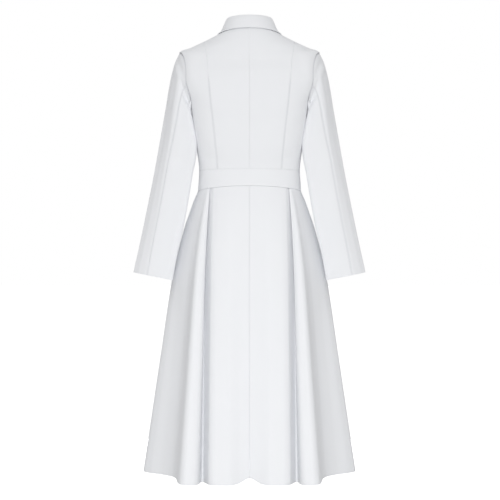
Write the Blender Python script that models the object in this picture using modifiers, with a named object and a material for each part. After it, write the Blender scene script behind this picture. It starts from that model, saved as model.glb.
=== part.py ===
"""A long-sleeved pleated coat dress, hollow, as it stands when it is worn.

Metres, +Z up. The wearer faces -Y and their left arm is at +X. The origin is in the
middle of the neck, level with the shoulders, where the wearer carries the dress.

The dress is cut and sewn from these pieces, and each is one solid:
  eight bodice panels with shoulder princess seams, three waistband pieces,
  four skirt panels with one deep knife pleat each, two two-piece sleeves,
  a turned-down collar, and ten buttons down the front edge.
Cloth is a surface with a thin wall. The bodice is one ringed surface, cut along its seams;
the skirt, the sleeves and the collar are lofts through rows of named points.
"""

import bpy
import numpy as np
from mathutils.geometry import delaunay_2d_cdt

# Cloth
WALL = 0.0016
DOUBLE_WALL = 0.0020        # waistband and collar, two layers with interfacing
SEAM_GAP = 0.0004           # between two pieces at a seam
WAIST_GAP = 0.0009          # the skirt flares at its seam, so its wall leans up

# Front opening: the right front lies over the left
OVERLAP = 0.018             # each front edge runs this far past the centre front
LIFT = 0.0036               # how far the right front stands out over the left
LIFT_START = 0.046          # where it starts to stand out, from the centre front
LIFT_END = 0.022

# Bodice rings, from the waist seam up. Half widths and depths, squareness of the ring,
# and the heights of its side, its centre back and its centre front.
TORSO_COLUMNS = ("width", "back", "front", "square_back", "square_front", "z_side", "z_back", "z_front")
TORSO = {
    "waist seam": (0.1364, 0.0880, 0.0960, 2.50, 2.10, -0.4225, -0.4118, -0.4220),
    "waistband top": (0.1332, 0.0860, 0.0950, 3.00, 2.20, -0.3700, -0.3675, -0.3700),
    "ribs": (0.1395, 0.0945, 0.1110, 3.35, 2.25, -0.3100, -0.3100, -0.3100),
    "bust": (0.1470, 0.1010, 0.1290, 3.60, 2.30, -0.2480, -0.2480, -0.2480),
    "underarm": (0.1540, 0.1050, 0.1260, 3.60, 2.30, -0.2000, -0.2000, -0.2000),
    "chest": (0.1915, 0.1045, 0.1140, 2.90, 2.20, -0.1250, -0.1300, -0.1420),
    "shoulder tip": (0.1860, 0.0910, 0.0970, 2.45, 2.20, -0.0545, -0.0800, -0.1040),
    "outer shoulder": (0.1590, 0.0840, 0.0925, 2.25, 2.20, -0.0428, -0.0570, -0.0940),
    "mid shoulder": (0.1170, 0.0750, 0.0870, 2.15, 2.15, -0.0235, -0.0265, -0.0820),
    "neck seam": (0.0700, 0.0620, 0.0780, 2.10, 2.10, 0.0000, 0.0090, -0.0620),
}
WAIST_SEAM, BAND_TOP, UNDERARM, CHEST, TIP, NECK = 0, 1, 4, 5, 6, 9

# Princess seams: how far the seam is from the centre at each ring, up to the shoulder seam
PRINCESS_RINGS = (1.0, 2.0, 3.0, 4.0, 5.0, 6.0, 8.0)
PRINCESS_BACK = (0.0830, 0.0880, 0.0945, 0.1003, 0.1068, 0.1120, 0.1190)
PRINCESS_FRONT = (0.0800, 0.0840, 0.0880, 0.0900, 0.0960, 0.1060, 0.1190)

# Armhole: an oval on the bodice, this many degrees from the side at its widest
ARMHOLE_BACK = 36.0
ARMHOLE_FRONT = 33.0
ARMHOLE_ROUND = 1.5         # how gently it leaves the side, at the front
ARMHOLE_ROUND_BACK = 0.85

# Bodice panels are filled with points this far apart
PANEL_ANGLE = 9.0           # degrees round the bodice
FRONT_ANGLE = 5.0           # closer on the fronts, which bend where they lap
PANEL_RING = 0.40
RING_UNIT = 28.0            # one ring is as far as this many degrees

# Sleeve rings, from the armhole down: the ring's inner and outer points in the
# plane of the body, half its depth and the place of its middle in Y.
SLEEVE_COLUMNS = ("at", "x_in", "z_in", "x_out", "z_out", "depth", "y")
SLEEVE = (
    (0.045, 0.1585, -0.2020, 0.1978, -0.0800, 0.0610, 0.002),
    (0.11, 0.1585, -0.2100, 0.2106, -0.1300, 0.0620, 0.003),
    (0.20, 0.1565, -0.2300, 0.2232, -0.2050, 0.0595, 0.006),
    (0.265, 0.1520, -0.2620, 0.2301, -0.2450, 0.0560, 0.008),
    (0.33, 0.1462, -0.2990, 0.2374, -0.2860, 0.0530, 0.009),
    (0.48, 0.1590, -0.3880, 0.2541, -0.3800, 0.0475, 0.012),
    (0.66, 0.1792, -0.5050, 0.2765, -0.4950, 0.0415, 0.017),
    (0.82, 0.1968, -0.5850, 0.2924, -0.5720, 0.0370, 0.021),
    (1.00, 0.2106, -0.6572, 0.3072, -0.6384, 0.0330, 0.025),
)
# How the sleeve starts at the armhole, over the shoulder and under the arm
ARMHOLE_PAST = 0.0014       # beyond the bodice's edge
ARMHOLE_PAST_UNDER = 0.0010
ARMHOLE_OFF = 0.0000        # out from the bodice's cloth
ARMHOLE_OFF_UNDER = 0.0024
# A sleeve ring against an ellipse, by degrees from its outer point towards the back: it is
# flatter on its outer half, and its inner back corner lies over the bodice's side
SLEEVE_ROUND = ((-180.0, 1.0), (-165.0, 1.03), (-148.0, 1.12), (-130.0, 1.12), (-110.0, 1.05), (-90.0, 1.0),
                (-60.0, 0.965), (-30.0, 0.95), (0.0, 1.0), (25.0, 0.905), (48.0, 0.905), (72.0, 0.98),
                (92.0, 1.01), (112.0, 1.065), (131.0, 1.17), (146.0, 1.365), (158.0, 1.15), (170.0, 1.035),
                (180.0, 1.0))
# The seams of the two-piece sleeve, in degrees from its outer side towards the back
BACK_SLEEVE_SEAM = ((0.0, 108.0), (0.20, 93.0), (0.40, 73.0), (0.66, 73.0), (1.0, 77.0))
FRONT_SLEEVE_SEAM = ((0.0, -112.0), (0.30, -118.0), (1.0, -112.0))

# Skirt: how far the cloth has spread from the waist to the hem, by height
HEM_Z = -1.1720
FLARE = ((0.0, 0.0), (0.034, 0.078), (0.058, 0.122), (0.126, 0.243), (0.22, 0.372),
         (0.32, 0.480), (0.569, 0.672), (1.0, 1.0))
SKIRT_ROWS = (0.0, 0.034, 0.08, 0.15, 0.24, 0.34, 0.47, 0.63, 0.81, 1.0)
LAYER = 0.0026              # from one layer of a folded pleat to the next
NOTCH = 0.014               # the hem rises here at the centre back seam
NOTCH_WIDTH = 0.022
SIDE_RISE = 0.0022          # and this much round the sides

# The folds from the centre to the side seam: the place on the waist in degrees, how
# many layers in it lies there, and its place on the hem.
FOLD_COLUMNS = ("angle", "layers", "hem_x", "hem_y")
BACK_FOLDS = {
    "centre": (0.0, 0.0, 0.0000, 0.1960),
    "centre hollow": (8.0, 0.0, 0.0230, 0.2090),
    "centre lobe": (20.0, 0.0, 0.0550, 0.2240),
    "panel edge": (31.0, 0.0, 0.0850, 0.2230),
    "edge turns in": (38.0, 0.1, 0.1015, 0.2130),
    "underlay": (43.5, 1.35, 0.1085, 0.1950),
    "deep underlay": (50.0, 2.0, 0.1150, 0.1760),
    "inner fold before": (56.0, 2.0, 0.1178, 0.1700),
    "inner fold": (57.1, 1.5, 0.1203, 0.1680),
    "inner fold after": (56.0, 1.0, 0.1229, 0.1700),
    "return": (51.0, 1.0, 0.1262, 0.1860),
    "outer fold before": (47.2, 1.0, 0.1282, 0.2040),
    "outer fold": (46.2, 0.5, 0.1300, 0.2100),
    "outer fold after": (47.2, 0.0, 0.1328, 0.2170),
    "flute start": (47.8, 0.0, 0.1425, 0.2255),
    "flute crest": (48.5, 0.0, 0.1600, 0.2290),
    "flute shoulder": (49.4, 0.0, 0.1745, 0.2190),
    "flute side": (50.8, 0.0, 0.1825, 0.1880),
    "valley side": (54.0, 0.0, 0.1872, 0.1430),
    "valley": (62.0, 0.0, 0.1965, 0.1030),
    "side panel": (74.0, 0.0, 0.2290, 0.0590),
    "side round": (84.0, 0.0, 0.2640, 0.0300),
    "side turns": (88.8, 0.0, 0.2795, 0.0110),
    "side seam": (90.0, 0.0, 0.2825, 0.0000),
}
FRONT_HEM = {               # where the front's hem differs from the back's
    "centre": (0.0000, 0.2190),
    "centre hollow": (0.0240, 0.2200),
    "centre lobe": (0.0550, 0.2215),
    "panel edge": (0.0840, 0.2190),
    "flute crest": (0.1590, 0.2240),
    "valley side": (0.1900, 0.1440),
    "valley": (0.2000, 0.1050),
}

# Collar: the top of its roll, which circles the neck and dips at the front
ROLL = {"width": 0.0572, "back": 0.0555, "front": 0.0690, "z_side": 0.0380, "z_back": 0.0393,
        "z_front": -0.0330}
ROLL_RADIUS = 0.0026
COLLAR_END = 176.0          # degrees from the centre back to the collar's front end
STAND_UP = 0.0019           # the stand's foot over the neck seam
# The edge of the fall, by degrees round the neck: the bodice ring it lies over, the
# angle there, and how far it stands off the cloth
FALL_COLUMNS = ("round", "ring", "angle", "off")
FALL = (
    (0.0, 8.84, 0.0, 0.0042),
    (45.0, 8.82, 46.0, 0.0034),
    (90.0, 8.72, 90.0, 0.0030),
    (125.0, 8.20, 122.0, 0.0048),
    (155.0, 6.90, 146.0, 0.0070),
    (176.0, 5.95, 160.0, 0.0070),
)

# Buttons
BUTTON_RADIUS = 0.0100
BUTTON_THICK = 0.0032
BUTTON_SINK = 0.0005        # the dish in the button's face
BUTTON_GAP = 0.0004         # over the highest cloth under it
BODICE_BUTTONS = (-0.088, -0.152, -0.216, -0.280, -0.344)
BAND_BUTTON = -0.396
SKIRT_BUTTONS = (-0.470, -0.545, -0.620, -0.695)

CREPE_COLOUR = (0.86, 0.87, 0.89, 1.0)
BUTTON_COLOUR = (0.88, 0.88, 0.87, 1.0)


def clear_scene():
    """Removes the objects that Blender starts with."""
    for old in list(bpy.data.objects):
        bpy.data.objects.remove(old)


def new_collection(name):
    made = bpy.data.collections.new(name)
    bpy.context.scene.collection.children.link(made)
    return made


def material(name, colour, roughness):
    made = bpy.data.materials.new(name)
    made.use_nodes = True
    shader = made.node_tree.nodes["Principled BSDF"]
    shader.inputs["Base Color"].default_value = colour
    shader.inputs["Roughness"].default_value = roughness
    shader.inputs["Metallic"].default_value = 0.0
    return made


def smooth(low, high, x):
    """0 below low, 1 above high, and an S-curve between them."""
    share = np.clip((np.asarray(x, float) - low) / (high - low), 0.0, 1.0)
    return share * share * (3.0 - 2.0 * share)


def through(at, values, x):
    """A smooth curve through the values at those places, read at x.

    Between two places it is a cubic. Its slope at a place is the harmonic mean of those
    beside it, or level where they differ in sign, so that the curve never overshoots.
    """
    at, values, x = np.asarray(at, float), np.asarray(values, float), np.asarray(x, float)
    gaps = np.diff(at).reshape((-1,) + (1,) * (values.ndim - 1))
    rise = np.diff(values, axis=0) / gaps
    below, above = rise[:-1], rise[1:]
    total = np.where(np.abs(below + above) < 1e-12, 1.0, below + above)
    inner = np.where(below * above > 0, 2 * below * above / total, 0.0)
    slopes = np.concatenate([rise[:1], inner, rise[-1:]])
    i = np.clip(np.searchsorted(at, x, side="right") - 1, 0, len(at) - 2)
    span = at[i + 1] - at[i]
    s = (x - at[i]) / span
    if values.ndim > 1:
        shape = s.shape + (1,) * (values.ndim - 1)
        s, span = s.reshape(shape), span.reshape(shape)
    return ((1 + 2 * s) * (1 - s) ** 2 * values[i] + s * (1 - s) ** 2 * span * slopes[i]
            + s * s * (3 - 2 * s) * values[i + 1] + s * s * (s - 1) * span * slopes[i + 1])


def column(rows, names, name):
    """One named column of a table as an array."""
    return np.array([row[names.index(name)] for row in rows])


def unit(vectors):
    return vectors / np.maximum(np.linalg.norm(vectors, axis=-1, keepdims=True), 1e-12)


# Bodice

def torso_size(name, ring):
    rows = list(TORSO.values())
    return through(np.arange(len(rows)), column(rows, TORSO_COLUMNS, name), ring)


def torso(angle, ring):
    """The point of the bodice that many degrees from the centre back, at that ring.

    A ring is a rounded oval, wider than deep, whose height dips or climbs from its side
    to its centre back and centre front. Past 180 degrees it is on the wearer's right.
    """
    turn = np.radians(angle)
    sine, cosine = np.sin(turn), np.cos(turn)
    power = 2.0 / np.where(cosine > 0, torso_size("square_back", ring), torso_size("square_front", ring))
    depth = np.where(cosine > 0, torso_size("back", ring), torso_size("front", ring))
    centre = np.where(cosine > 0, torso_size("z_back", ring), torso_size("z_front", ring))
    side = torso_size("z_side", ring)
    return np.stack([
        torso_size("width", ring) * np.sign(sine) * np.abs(sine) ** power,
        depth * np.sign(cosine) * np.abs(cosine) ** power,
        side + (centre - side) * cosine ** 2,
    ], axis=-1)


def torso_normal(angle, ring):
    """Which way the cloth faces there, pointing out."""
    step = 1e-3
    along = torso(angle + step, ring) - torso(angle - step, ring)
    up = torso(angle, ring + step) - torso(angle, ring - step)
    return unit(np.cross(up, along))


def angle_at(x, ring, front):
    """How many degrees from its centre a ring's back or front is that far from the centre line."""
    share = np.clip(np.asarray(x) / torso_size("width", ring), 0.0, 1.0)
    return np.degrees(np.arcsin(share ** (torso_size("square_front" if front else "square_back", ring) / 2.0)))


def princess(front, ring):
    """The princess seam's angle at a ring, 90 degrees where it meets the shoulder seam."""
    table = PRINCESS_FRONT if front else PRINCESS_BACK
    angle = angle_at(through(PRINCESS_RINGS, table, ring), ring, front)
    return 180.0 - angle if front else angle


def princess_end(front):
    """The ring at which the princess seam meets the shoulder seam."""
    rings = np.linspace(7.0, 8.6, 321)
    table = PRINCESS_FRONT if front else PRINCESS_BACK
    off = through(PRINCESS_RINGS, table, rings) - torso_size("width", rings)
    return rings[np.argmax(off >= 0)]


def armhole(round_it):
    """The armhole's angle and ring, by degrees round the sleeve from the shoulder tip.

    Positive degrees are at the back. The oval reaches its widest half way down.
    """
    turn = np.radians(round_it)
    back = np.sin(turn) >= 0
    widest, power = np.where(back, -ARMHOLE_BACK, ARMHOLE_FRONT), np.where(back, ARMHOLE_ROUND_BACK, ARMHOLE_ROUND)
    return 90.0 + widest * np.abs(np.sin(turn)) ** power, CHEST + np.cos(turn)


def front_edge(ring):
    """The angle at which the left front ends, past the centre front."""
    return 180.0 + angle_at(OVERLAP, ring, True)


def lifted(points, normals):
    """The right front stands out over the left's edge."""
    return points + normals * (LIFT * smooth(-LIFT_START, -LIFT_END, points[..., :1]))


def princess_line(front, rows=14):
    """The princess seam from the waistband up, its points closer near the shoulder."""
    end = princess_end(front)
    rings = end - (end - BAND_TOP) * np.linspace(1.0, 0.0, rows) ** 1.7
    return np.stack([princess(front, rings), rings], axis=-1)


def shoulder_line(first, last, points):
    rings = np.linspace(first, last, points)
    return np.stack([np.full(points, 90.0), rings], axis=-1)


def band_line(first, last, points):
    angles = np.linspace(first, last, points)
    return np.stack([angles, np.full(points, float(BAND_TOP))], axis=-1)


def centre_panel(front):
    """The outline of the panel between the centre and the princess seam."""
    seam = princess_line(front)
    rings = np.linspace(NECK, BAND_TOP, 21)
    edge = front_edge(rings) if front else np.zeros(21)
    centre = np.stack([edge, rings], axis=-1)
    neck = np.linspace(90.0, centre[0, 0], 9)
    neck = np.stack([neck, np.full(9, float(NECK))], axis=-1)
    shoulder = shoulder_line(seam[-1, 1], NECK, 5)
    bottom = band_line(centre[-1, 0], seam[0, 0], 7)
    return [seam, shoulder, neck, centre, bottom]


def side_panel(front):
    """The outline of the panel from the princess seam to the side seam and the armhole."""
    seam = princess_line(front)
    shoulder = shoulder_line(seam[-1, 1], TIP, 5)
    turn = np.linspace(0.0, 180.0, 13) * (-1 if front else 1)
    hole = np.stack(armhole(turn), axis=-1)
    side = shoulder_line(UNDERARM, BAND_TOP, 7)
    bottom = band_line(90.0, seam[0, 0], 6)
    return [seam, shoulder, hole, side, bottom]


def inside(points, outline):
    """Which points an outline goes round, by how often a ray to the right crosses it."""
    a, b = outline, np.roll(outline, -1, axis=0)
    x, y = points[:, None, 0], points[:, None, 1]
    spans = (a[:, 1] > y) != (b[:, 1] > y)
    rise = np.where(b[:, 1] == a[:, 1], 1e-9, b[:, 1] - a[:, 1])
    crossing = a[:, 0] + (y - a[:, 1]) / rise * (b[:, 0] - a[:, 0])
    return (spans & (x < crossing)).sum(axis=1) % 2 == 1


def fill(outline, step_x):
    """Triangles that fill an outline: points on a lattice, clear of the edge, and the edge."""
    flat = outline * (1.0, RING_UNIT)
    low, high = flat.min(axis=0), flat.max(axis=0)
    step_y = PANEL_RING * RING_UNIT
    lattice = np.stack(np.meshgrid(np.arange(low[0], high[0], step_x) + 0.5 * step_x,
                                   np.arange(low[1], high[1], step_y) + 0.5 * step_y), -1)
    lattice[1::2, :, 0] += 0.5 * step_x
    lattice = lattice.reshape(-1, 2)
    after = np.roll(flat, -1, axis=0)
    edge = np.concatenate([flat + (after - flat) * part for part in (0, 0.2, 0.4, 0.6, 0.8)])
    apart = np.linalg.norm(lattice[:, None] - edge[None], axis=-1).min(axis=1)
    lattice = lattice[inside(lattice, flat) & (apart > 0.5 * step_x)]
    count = len(flat)
    given = np.concatenate([flat, lattice]).tolist()
    ring = [(i, (i + 1) % count) for i in range(count)]
    verts, _, faces, source, _, _ = delaunay_2d_cdt(given, ring, [], 1, 1e-6)
    place = {source[i][0]: i for i in range(len(verts)) if source[i]}
    loop = [place[i] for i in range(count)]
    return np.array([v[:] for v in verts]) / (1.0, RING_UNIT), np.array(faces), loop


def drawn_in(points, normals, loop, half):
    """Moves the points of an edge in along the cloth by half a seam gap, corners too."""
    edge = points[loop]
    back = unit(edge - np.roll(edge, 1, axis=0))
    ahead = unit(np.roll(edge, -1, axis=0) - edge)
    first, second = unit(np.cross(normals[loop], back)), unit(np.cross(normals[loop], ahead))
    both = first + second
    share = half / np.maximum(1.0 + (first * second).sum(axis=1, keepdims=True), 0.35)
    out = points.copy()
    out[loop] += both * share
    return out


def bodice_panel(name, sides, step, front, on_right, crepe, into):
    """A panel of the bodice, cut out of its surface along the sides of its outline."""
    outline = np.concatenate([side[:-1] for side in sides])
    after = np.roll(outline, -1, axis=0)
    turned = (outline[:, 0] * after[:, 1] - after[:, 0] * outline[:, 1]).sum() > 0
    if turned:
        outline = outline[::-1]
    flat, faces, loop = fill(outline, step)
    points = torso(flat[:, 0], flat[:, 1])
    normals = torso_normal(flat[:, 0], flat[:, 1])
    a, b, c = points[faces[:, 0]], points[faces[:, 1]], points[faces[:, 2]]
    away = (np.cross(b - a, c - a) * normals[faces[:, 0]]).sum(axis=1) < 0
    faces[away] = faces[away][:, ::-1]
    points = drawn_in(points, normals, loop, 0.5 * SEAM_GAP)
    if on_right:
        points, normals = points * (-1, 1, 1), normals * (-1, 1, 1)
        faces, loop = faces[:, ::-1], loop[::-1]
        if front:
            points = lifted(points, normals)
    return shell(name, points, normals, faces, loop, WALL, crepe, into)


# Every cloth piece

def facing(points):
    """Which way each point of a grid faces: rows run up and columns round, so it is out."""
    up = np.gradient(points, axis=0)
    along = np.gradient(points, axis=1)
    return unit(np.cross(up, along))


def split(a, b, c, d, points):
    """Two triangles for each quad a b c d, along its shorter diagonal."""
    short = np.linalg.norm(points[a] - points[c], axis=-1) < np.linalg.norm(points[b] - points[d], axis=-1)
    first = np.where(short[..., None], np.stack([a, b, c], -1), np.stack([a, b, d], -1))
    second = np.where(short[..., None], np.stack([a, c, d], -1), np.stack([b, c, d], -1))
    return np.concatenate([first.reshape(-1, 3), second.reshape(-1, 3)])


def shell(name, points, normals, faces, loop, wall, crepe, into):
    """Cloth with its wall: the faces moved out and in by half of it, and a rim between.

    The loop runs round the edge the way the faces do.
    """
    count = len(points)
    outer, inner = np.array(loop), np.array(loop) + count
    both = np.concatenate([points + normals * wall / 2, points - normals * wall / 2])
    corners = [np.roll(outer, -1), outer, inner, np.roll(inner, -1)]
    every = np.concatenate([faces, faces[:, ::-1] + count, split(*corners, both)]).tolist()
    mesh = bpy.data.meshes.new(name)
    mesh.from_pydata(both.tolist(), [], every)
    mesh.materials.append(crepe)
    made = bpy.data.objects.new(name, mesh)
    into.objects.link(made)
    return made


def cloth(name, points, normals, wall, crepe, into, on_right=False):
    """Cloth through a grid of points.

    Rows run up the garment and columns round it, from the centre back over the wearer's
    left to the centre front. A piece on the right is given as a mirrored grid.
    """
    rows, columns = points.shape[:2]
    index = np.arange(rows * columns).reshape(rows, columns)
    faces = split(index[:-1, :-1], index[1:, :-1], index[1:, 1:], index[:-1, 1:], points.reshape(-1, 3))
    loop = np.concatenate([index[:-1, 0], index[-1, :-1], index[:0:-1, -1], index[0, :0:-1]])
    if on_right:
        faces, loop = faces[:, ::-1], loop[::-1]
    return shell(name, points.reshape(-1, 3), normals.reshape(-1, 3), faces, loop, wall, crepe, into)


def seam_inset(points, ends=True):
    """Draws a grid in along the cloth by half a seam gap, square to its sides and its ends."""
    out = points.copy()
    sides = [np.s_[:, 0], np.s_[:, 1], np.s_[:, -1], np.s_[:, -2]]
    if ends:
        sides += [np.s_[0], np.s_[1], np.s_[-1], np.s_[-2]]
    for edge, beside in zip(sides[::2], sides[1::2]):
        seam = unit(np.gradient(points[edge], axis=0))
        way = points[beside] - points[edge]
        out[edge] += 0.5 * SEAM_GAP * unit(way - seam * (way * seam).sum(axis=-1, keepdims=True))
    return out


# Waistband

def band_piece(name, start, end, columns, on_right, crepe, into):
    """A piece of the waistband between two angles, both waist seams drawn in by the gap."""
    rings = np.linspace(WAIST_SEAM, BAND_TOP, 3)
    angle, ring = np.meshgrid(np.linspace(start, end, columns), rings)
    points, normals = torso(angle, ring), torso_normal(angle, ring)
    points = seam_inset(points)
    if on_right:
        points, normals = points * (-1, 1, 1), normals * (-1, 1, 1)
        points = lifted(points, normals)
    return cloth(name, points, normals, DOUBLE_WALL, crepe, into, on_right)


# Skirt

def fold_table(front):
    rows = []
    for name, (angle, layers, x, y) in BACK_FOLDS.items():
        if front:
            x, y = FRONT_HEM.get(name, (x, y))
        rows.append((angle, layers, x, y))
    return rows


def waist_place(angle, layers):
    """A point on the waist seam, that many pleat layers in, and its plan direction out."""
    point = torso(angle, np.zeros_like(angle) + WAIST_SEAM)
    step = 0.05
    along = torso(angle + step, np.zeros_like(angle)) - torso(angle - step, np.zeros_like(angle))
    out = unit(np.stack([-along[..., 1], along[..., 0], np.zeros_like(angle)], axis=-1))
    return point - out * (layers * LAYER)[..., None]


def skirt_quarter(front):
    """The waist and hem lines of a panel, from its centre to the side seam.

    Both lines are read at the same share of the way from fold to fold, with one more
    point between two folds that lie apart on the hem.
    """
    rows = fold_table(front)
    angle, layers = column(rows, FOLD_COLUMNS, "angle"), column(rows, FOLD_COLUMNS, "layers")
    hem = np.stack([column(rows, FOLD_COLUMNS, "hem_x"), column(rows, FOLD_COLUMNS, "hem_y")], 1)
    far = np.linalg.norm(np.diff(hem, axis=0), axis=1)
    at = np.arange(len(rows), dtype=float)
    places = np.sort(np.concatenate([at, at[:-1][far > 0.024] + 0.5]))
    angle, layers = through(at, angle, places), through(at, layers, places)
    hem = through(at, hem, places)
    if front:
        edge = angle_at(OVERLAP, float(WAIST_SEAM), True)
        angle = np.concatenate([[-edge], angle])
        layers = np.concatenate([[0.0], layers])
        hem = np.concatenate([[[-OVERLAP, hem[0, 1]]], hem])
        angle, hem = 180.0 - angle, hem * (1, -1)
    waist = waist_place(angle, layers)
    return waist, hem


def skirt_panel(name, front, on_right, crepe, into):
    """A skirt panel: each fold runs from its place on the waist to its place on the hem.

    The share of the way is the flare at that height, the same for every fold.
    """
    waist, hem = skirt_quarter(front)
    down = np.array(SKIRT_ROWS)[::-1, None]
    spread = np.interp(down, *np.transpose(FLARE))
    plan = (1 - spread[..., None]) * waist[None, :, :2] + spread[..., None] * hem[None]
    hem_z = HEM_Z + SIDE_RISE * smooth(0.10, 0.19, hem[:, 0])
    if not front:
        hem_z = hem_z + NOTCH * np.exp(-((hem[:, 0] / NOTCH_WIDTH) ** 2))
    height = waist[None, :, 2] - WAIST_GAP
    z = height + down * (hem_z[None] - height)
    points = np.concatenate([plan, z[..., None]], axis=-1)
    if front:
        points = points[:, ::-1]
    if on_right:
        points = points * (-1, 1, 1)
        if front:
            points = lifted(points, np.zeros_like(points) + (0.0, -1.0, 0.0))
    normals = -facing(points) if on_right else facing(points)
    centre, side = (-1, 0) if front else (0, -1)
    normals[:, centre] = unit(normals[:, centre] * (0, 1, 1))
    normals[:, side] = unit(normals[:, side] * (1, 0, 1))
    return cloth(name, seam_inset(points, ends=False), normals, WALL, crepe, into, on_right)


# Sleeves

def sleeve_rings(round_it):
    """Points of every sleeve ring at those degrees, the armhole's ring first.

    At the armhole the sleeve starts clear of the bodice's edge: beyond it over the
    shoulder, and outside it under the arm, where the sleeve turns down beside the bodice.
    """
    turn = np.radians(round_it)
    under = (1 - np.cos(turn)) / 2
    angle, ring = armhole(round_it)
    middle = torso(90.0, float(CHEST))
    into_hole = unit(middle - torso(angle, ring))
    normal = torso_normal(angle, ring)
    past = ARMHOLE_PAST + (ARMHOLE_PAST_UNDER - ARMHOLE_PAST) * under
    off = ARMHOLE_OFF + (ARMHOLE_OFF_UNDER - ARMHOLE_OFF) * smooth(0.25, 0.95, under)
    rings = [torso(angle, ring) + into_hole * past[:, None] + normal * off[:, None]]
    reach = through(*np.transpose(SLEEVE_ROUND), (np.asarray(round_it) + 180.0) % 360.0 - 180.0)
    inward, deep = (1 - reach * np.cos(turn)) / 2, reach * np.sin(turn)
    for _, x_in, z_in, x_out, z_out, depth, y in SLEEVE:
        rings.append(np.stack([
            x_out + (x_in - x_out) * inward,
            y + depth * deep,
            z_out + (z_in - z_out) * inward,
        ], axis=-1))
    return np.array(rings)


def sleeve_piece(name, start, end, columns, on_right, crepe, into):
    """Half of a two-piece sleeve, between two of its seams, from the cuff up.

    start and end are tables of the seams' degrees by the share of the way to the cuff.
    """
    stations = np.concatenate([[0.0], column(SLEEVE, SLEEVE_COLUMNS, "at")])
    rows = np.array([0.0, 0.02, 0.045, 0.075, 0.11, 0.155, 0.20, 0.265, 0.33, 0.42, 0.55, 0.70, 0.85, 1.0])
    grid = []
    for row in rows[::-1]:
        first = np.interp(row, *np.transpose(start))
        last = np.interp(row, *np.transpose(end))
        if last < first:
            last += 360.0
        round_it = np.linspace(last, first, columns)
        beside = [sleeve_rings(round_it + turn) for turn in (1.5, 0.0, -1.5)]
        grid.append([through(stations, ring, np.full(1, row))[0] for ring in beside])
    before, points, after = np.moveaxis(np.array(grid), 1, 0)
    normals = unit(np.cross(np.gradient(points, axis=0), after - before))
    if on_right:
        points, normals = points * (-1, 1, 1), normals * (-1, 1, 1)
    return cloth(name, seam_inset(points, ends=False), normals, WALL, crepe, into, on_right)


# Collar

def roll_point(angle):
    """The collar's fold line, which circles the neck and dips at the front."""
    turn = np.radians(angle)
    cosine = np.cos(turn)
    depth = np.where(cosine > 0, ROLL["back"], ROLL["front"])
    centre = np.where(cosine > 0, ROLL["z_back"], ROLL["z_front"])
    return np.stack([ROLL["width"] * np.sin(turn), depth * cosine,
                     ROLL["z_side"] + (centre - ROLL["z_side"]) * cosine ** 2], axis=-1)


def collar(crepe, into, columns=41):
    """One band that stands up from the neck seam, rolls over and falls outside.

    The fall lies over the bodice: each of its rows is a place on the bodice's surface
    and a distance off it, from the roll out to the edge.
    """
    angle = np.linspace(-COLLAR_END, COLLAR_END, columns)
    side = np.abs(angle)
    mirror = np.stack([np.where(angle < 0, -1.0, 1.0), np.ones(columns), np.ones(columns)], -1)
    foot = torso(side, np.full(columns, float(NECK))) + (0.0, 0.0, STAND_UP)
    top = roll_point(side)
    fall_ring, fall_angle, off = through(column(FALL, FALL_COLUMNS, "round"),
                                         np.array(FALL)[:, 1:], side).T
    outward = unit((foot - (0, 0.004, 0)) * (1, 1, 0))
    rows = [
        foot,
        foot * 0.5 + (top - outward * ROLL_RADIUS) * 0.5,
        top - outward * ROLL_RADIUS - (0, 0, ROLL_RADIUS),
        top,
        top + outward * ROLL_RADIUS - (0, 0, ROLL_RADIUS * 0.6),
    ]
    low = rows[-1]
    for share, rise in ((0.0, 0.62), (0.18, 0.30), (0.5, 0.0), (1.0, 0.0)):
        at_ring = NECK + (fall_ring - NECK) * share
        at_angle = side + (fall_angle - side) * share
        spot = torso(at_angle, at_ring) + torso_normal(at_angle, at_ring) * off[:, None]
        lean = outward * (0.0022 * (1 - share))
        rows.append(spot * (1 - rise) + low * rise + lean)
    points = np.array(rows) * mirror
    return cloth("collar", points[::-1], facing(points[::-1]), DOUBLE_WALL, crepe, into)


# Buttons

def front_point(z):
    """The outer face of the right front on the centre line at that height, and the way it faces."""
    rings = np.linspace(WAIST_SEAM, NECK, 1601)
    line = torso(np.full_like(rings, 180.0), rings)
    ring = np.interp(z, line[:, 2], rings)
    point = torso(180.0, ring)
    normal = torso_normal(180.0, ring)
    return point, normal


def skirt_front_point(z):
    waist, hem = skirt_quarter(True)
    top = waist[1]
    down = (top[2] - WAIST_GAP - z) / (top[2] - WAIST_GAP - HEM_Z)
    step = 0.01
    depth = [
        (1 - s) * top[1] + s * hem[1, 1]
        for s in np.interp([down - step, down, down + step], *np.transpose(FLARE))
    ]
    slope = (depth[0] - depth[2]) / (2 * step * (top[2] - HEM_Z))
    return np.array([0.0, depth[1], z]), unit(np.array([0.0, -1.0, slope]))


def seat(piece, point, normal):
    """How far the cloth's outer face stands along the normal, where it is highest under a button."""
    side = unit(np.cross(normal, (0.0, 0.0, 1.0)))
    up = np.cross(side, normal)
    highest = -1.0
    for turn in np.linspace(0, 2 * np.pi, 13):
        for reach in (0.0, 0.5, 0.9, 1.05):
            spot = point + BUTTON_RADIUS * reach * (np.cos(turn) * side + np.sin(turn) * up)
            hit, place, _, _ = piece.ray_cast(spot + 0.03 * normal, -normal)
            if hit:
                highest = max(highest, float((np.array(place) - point) @ normal))
    return highest


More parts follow.
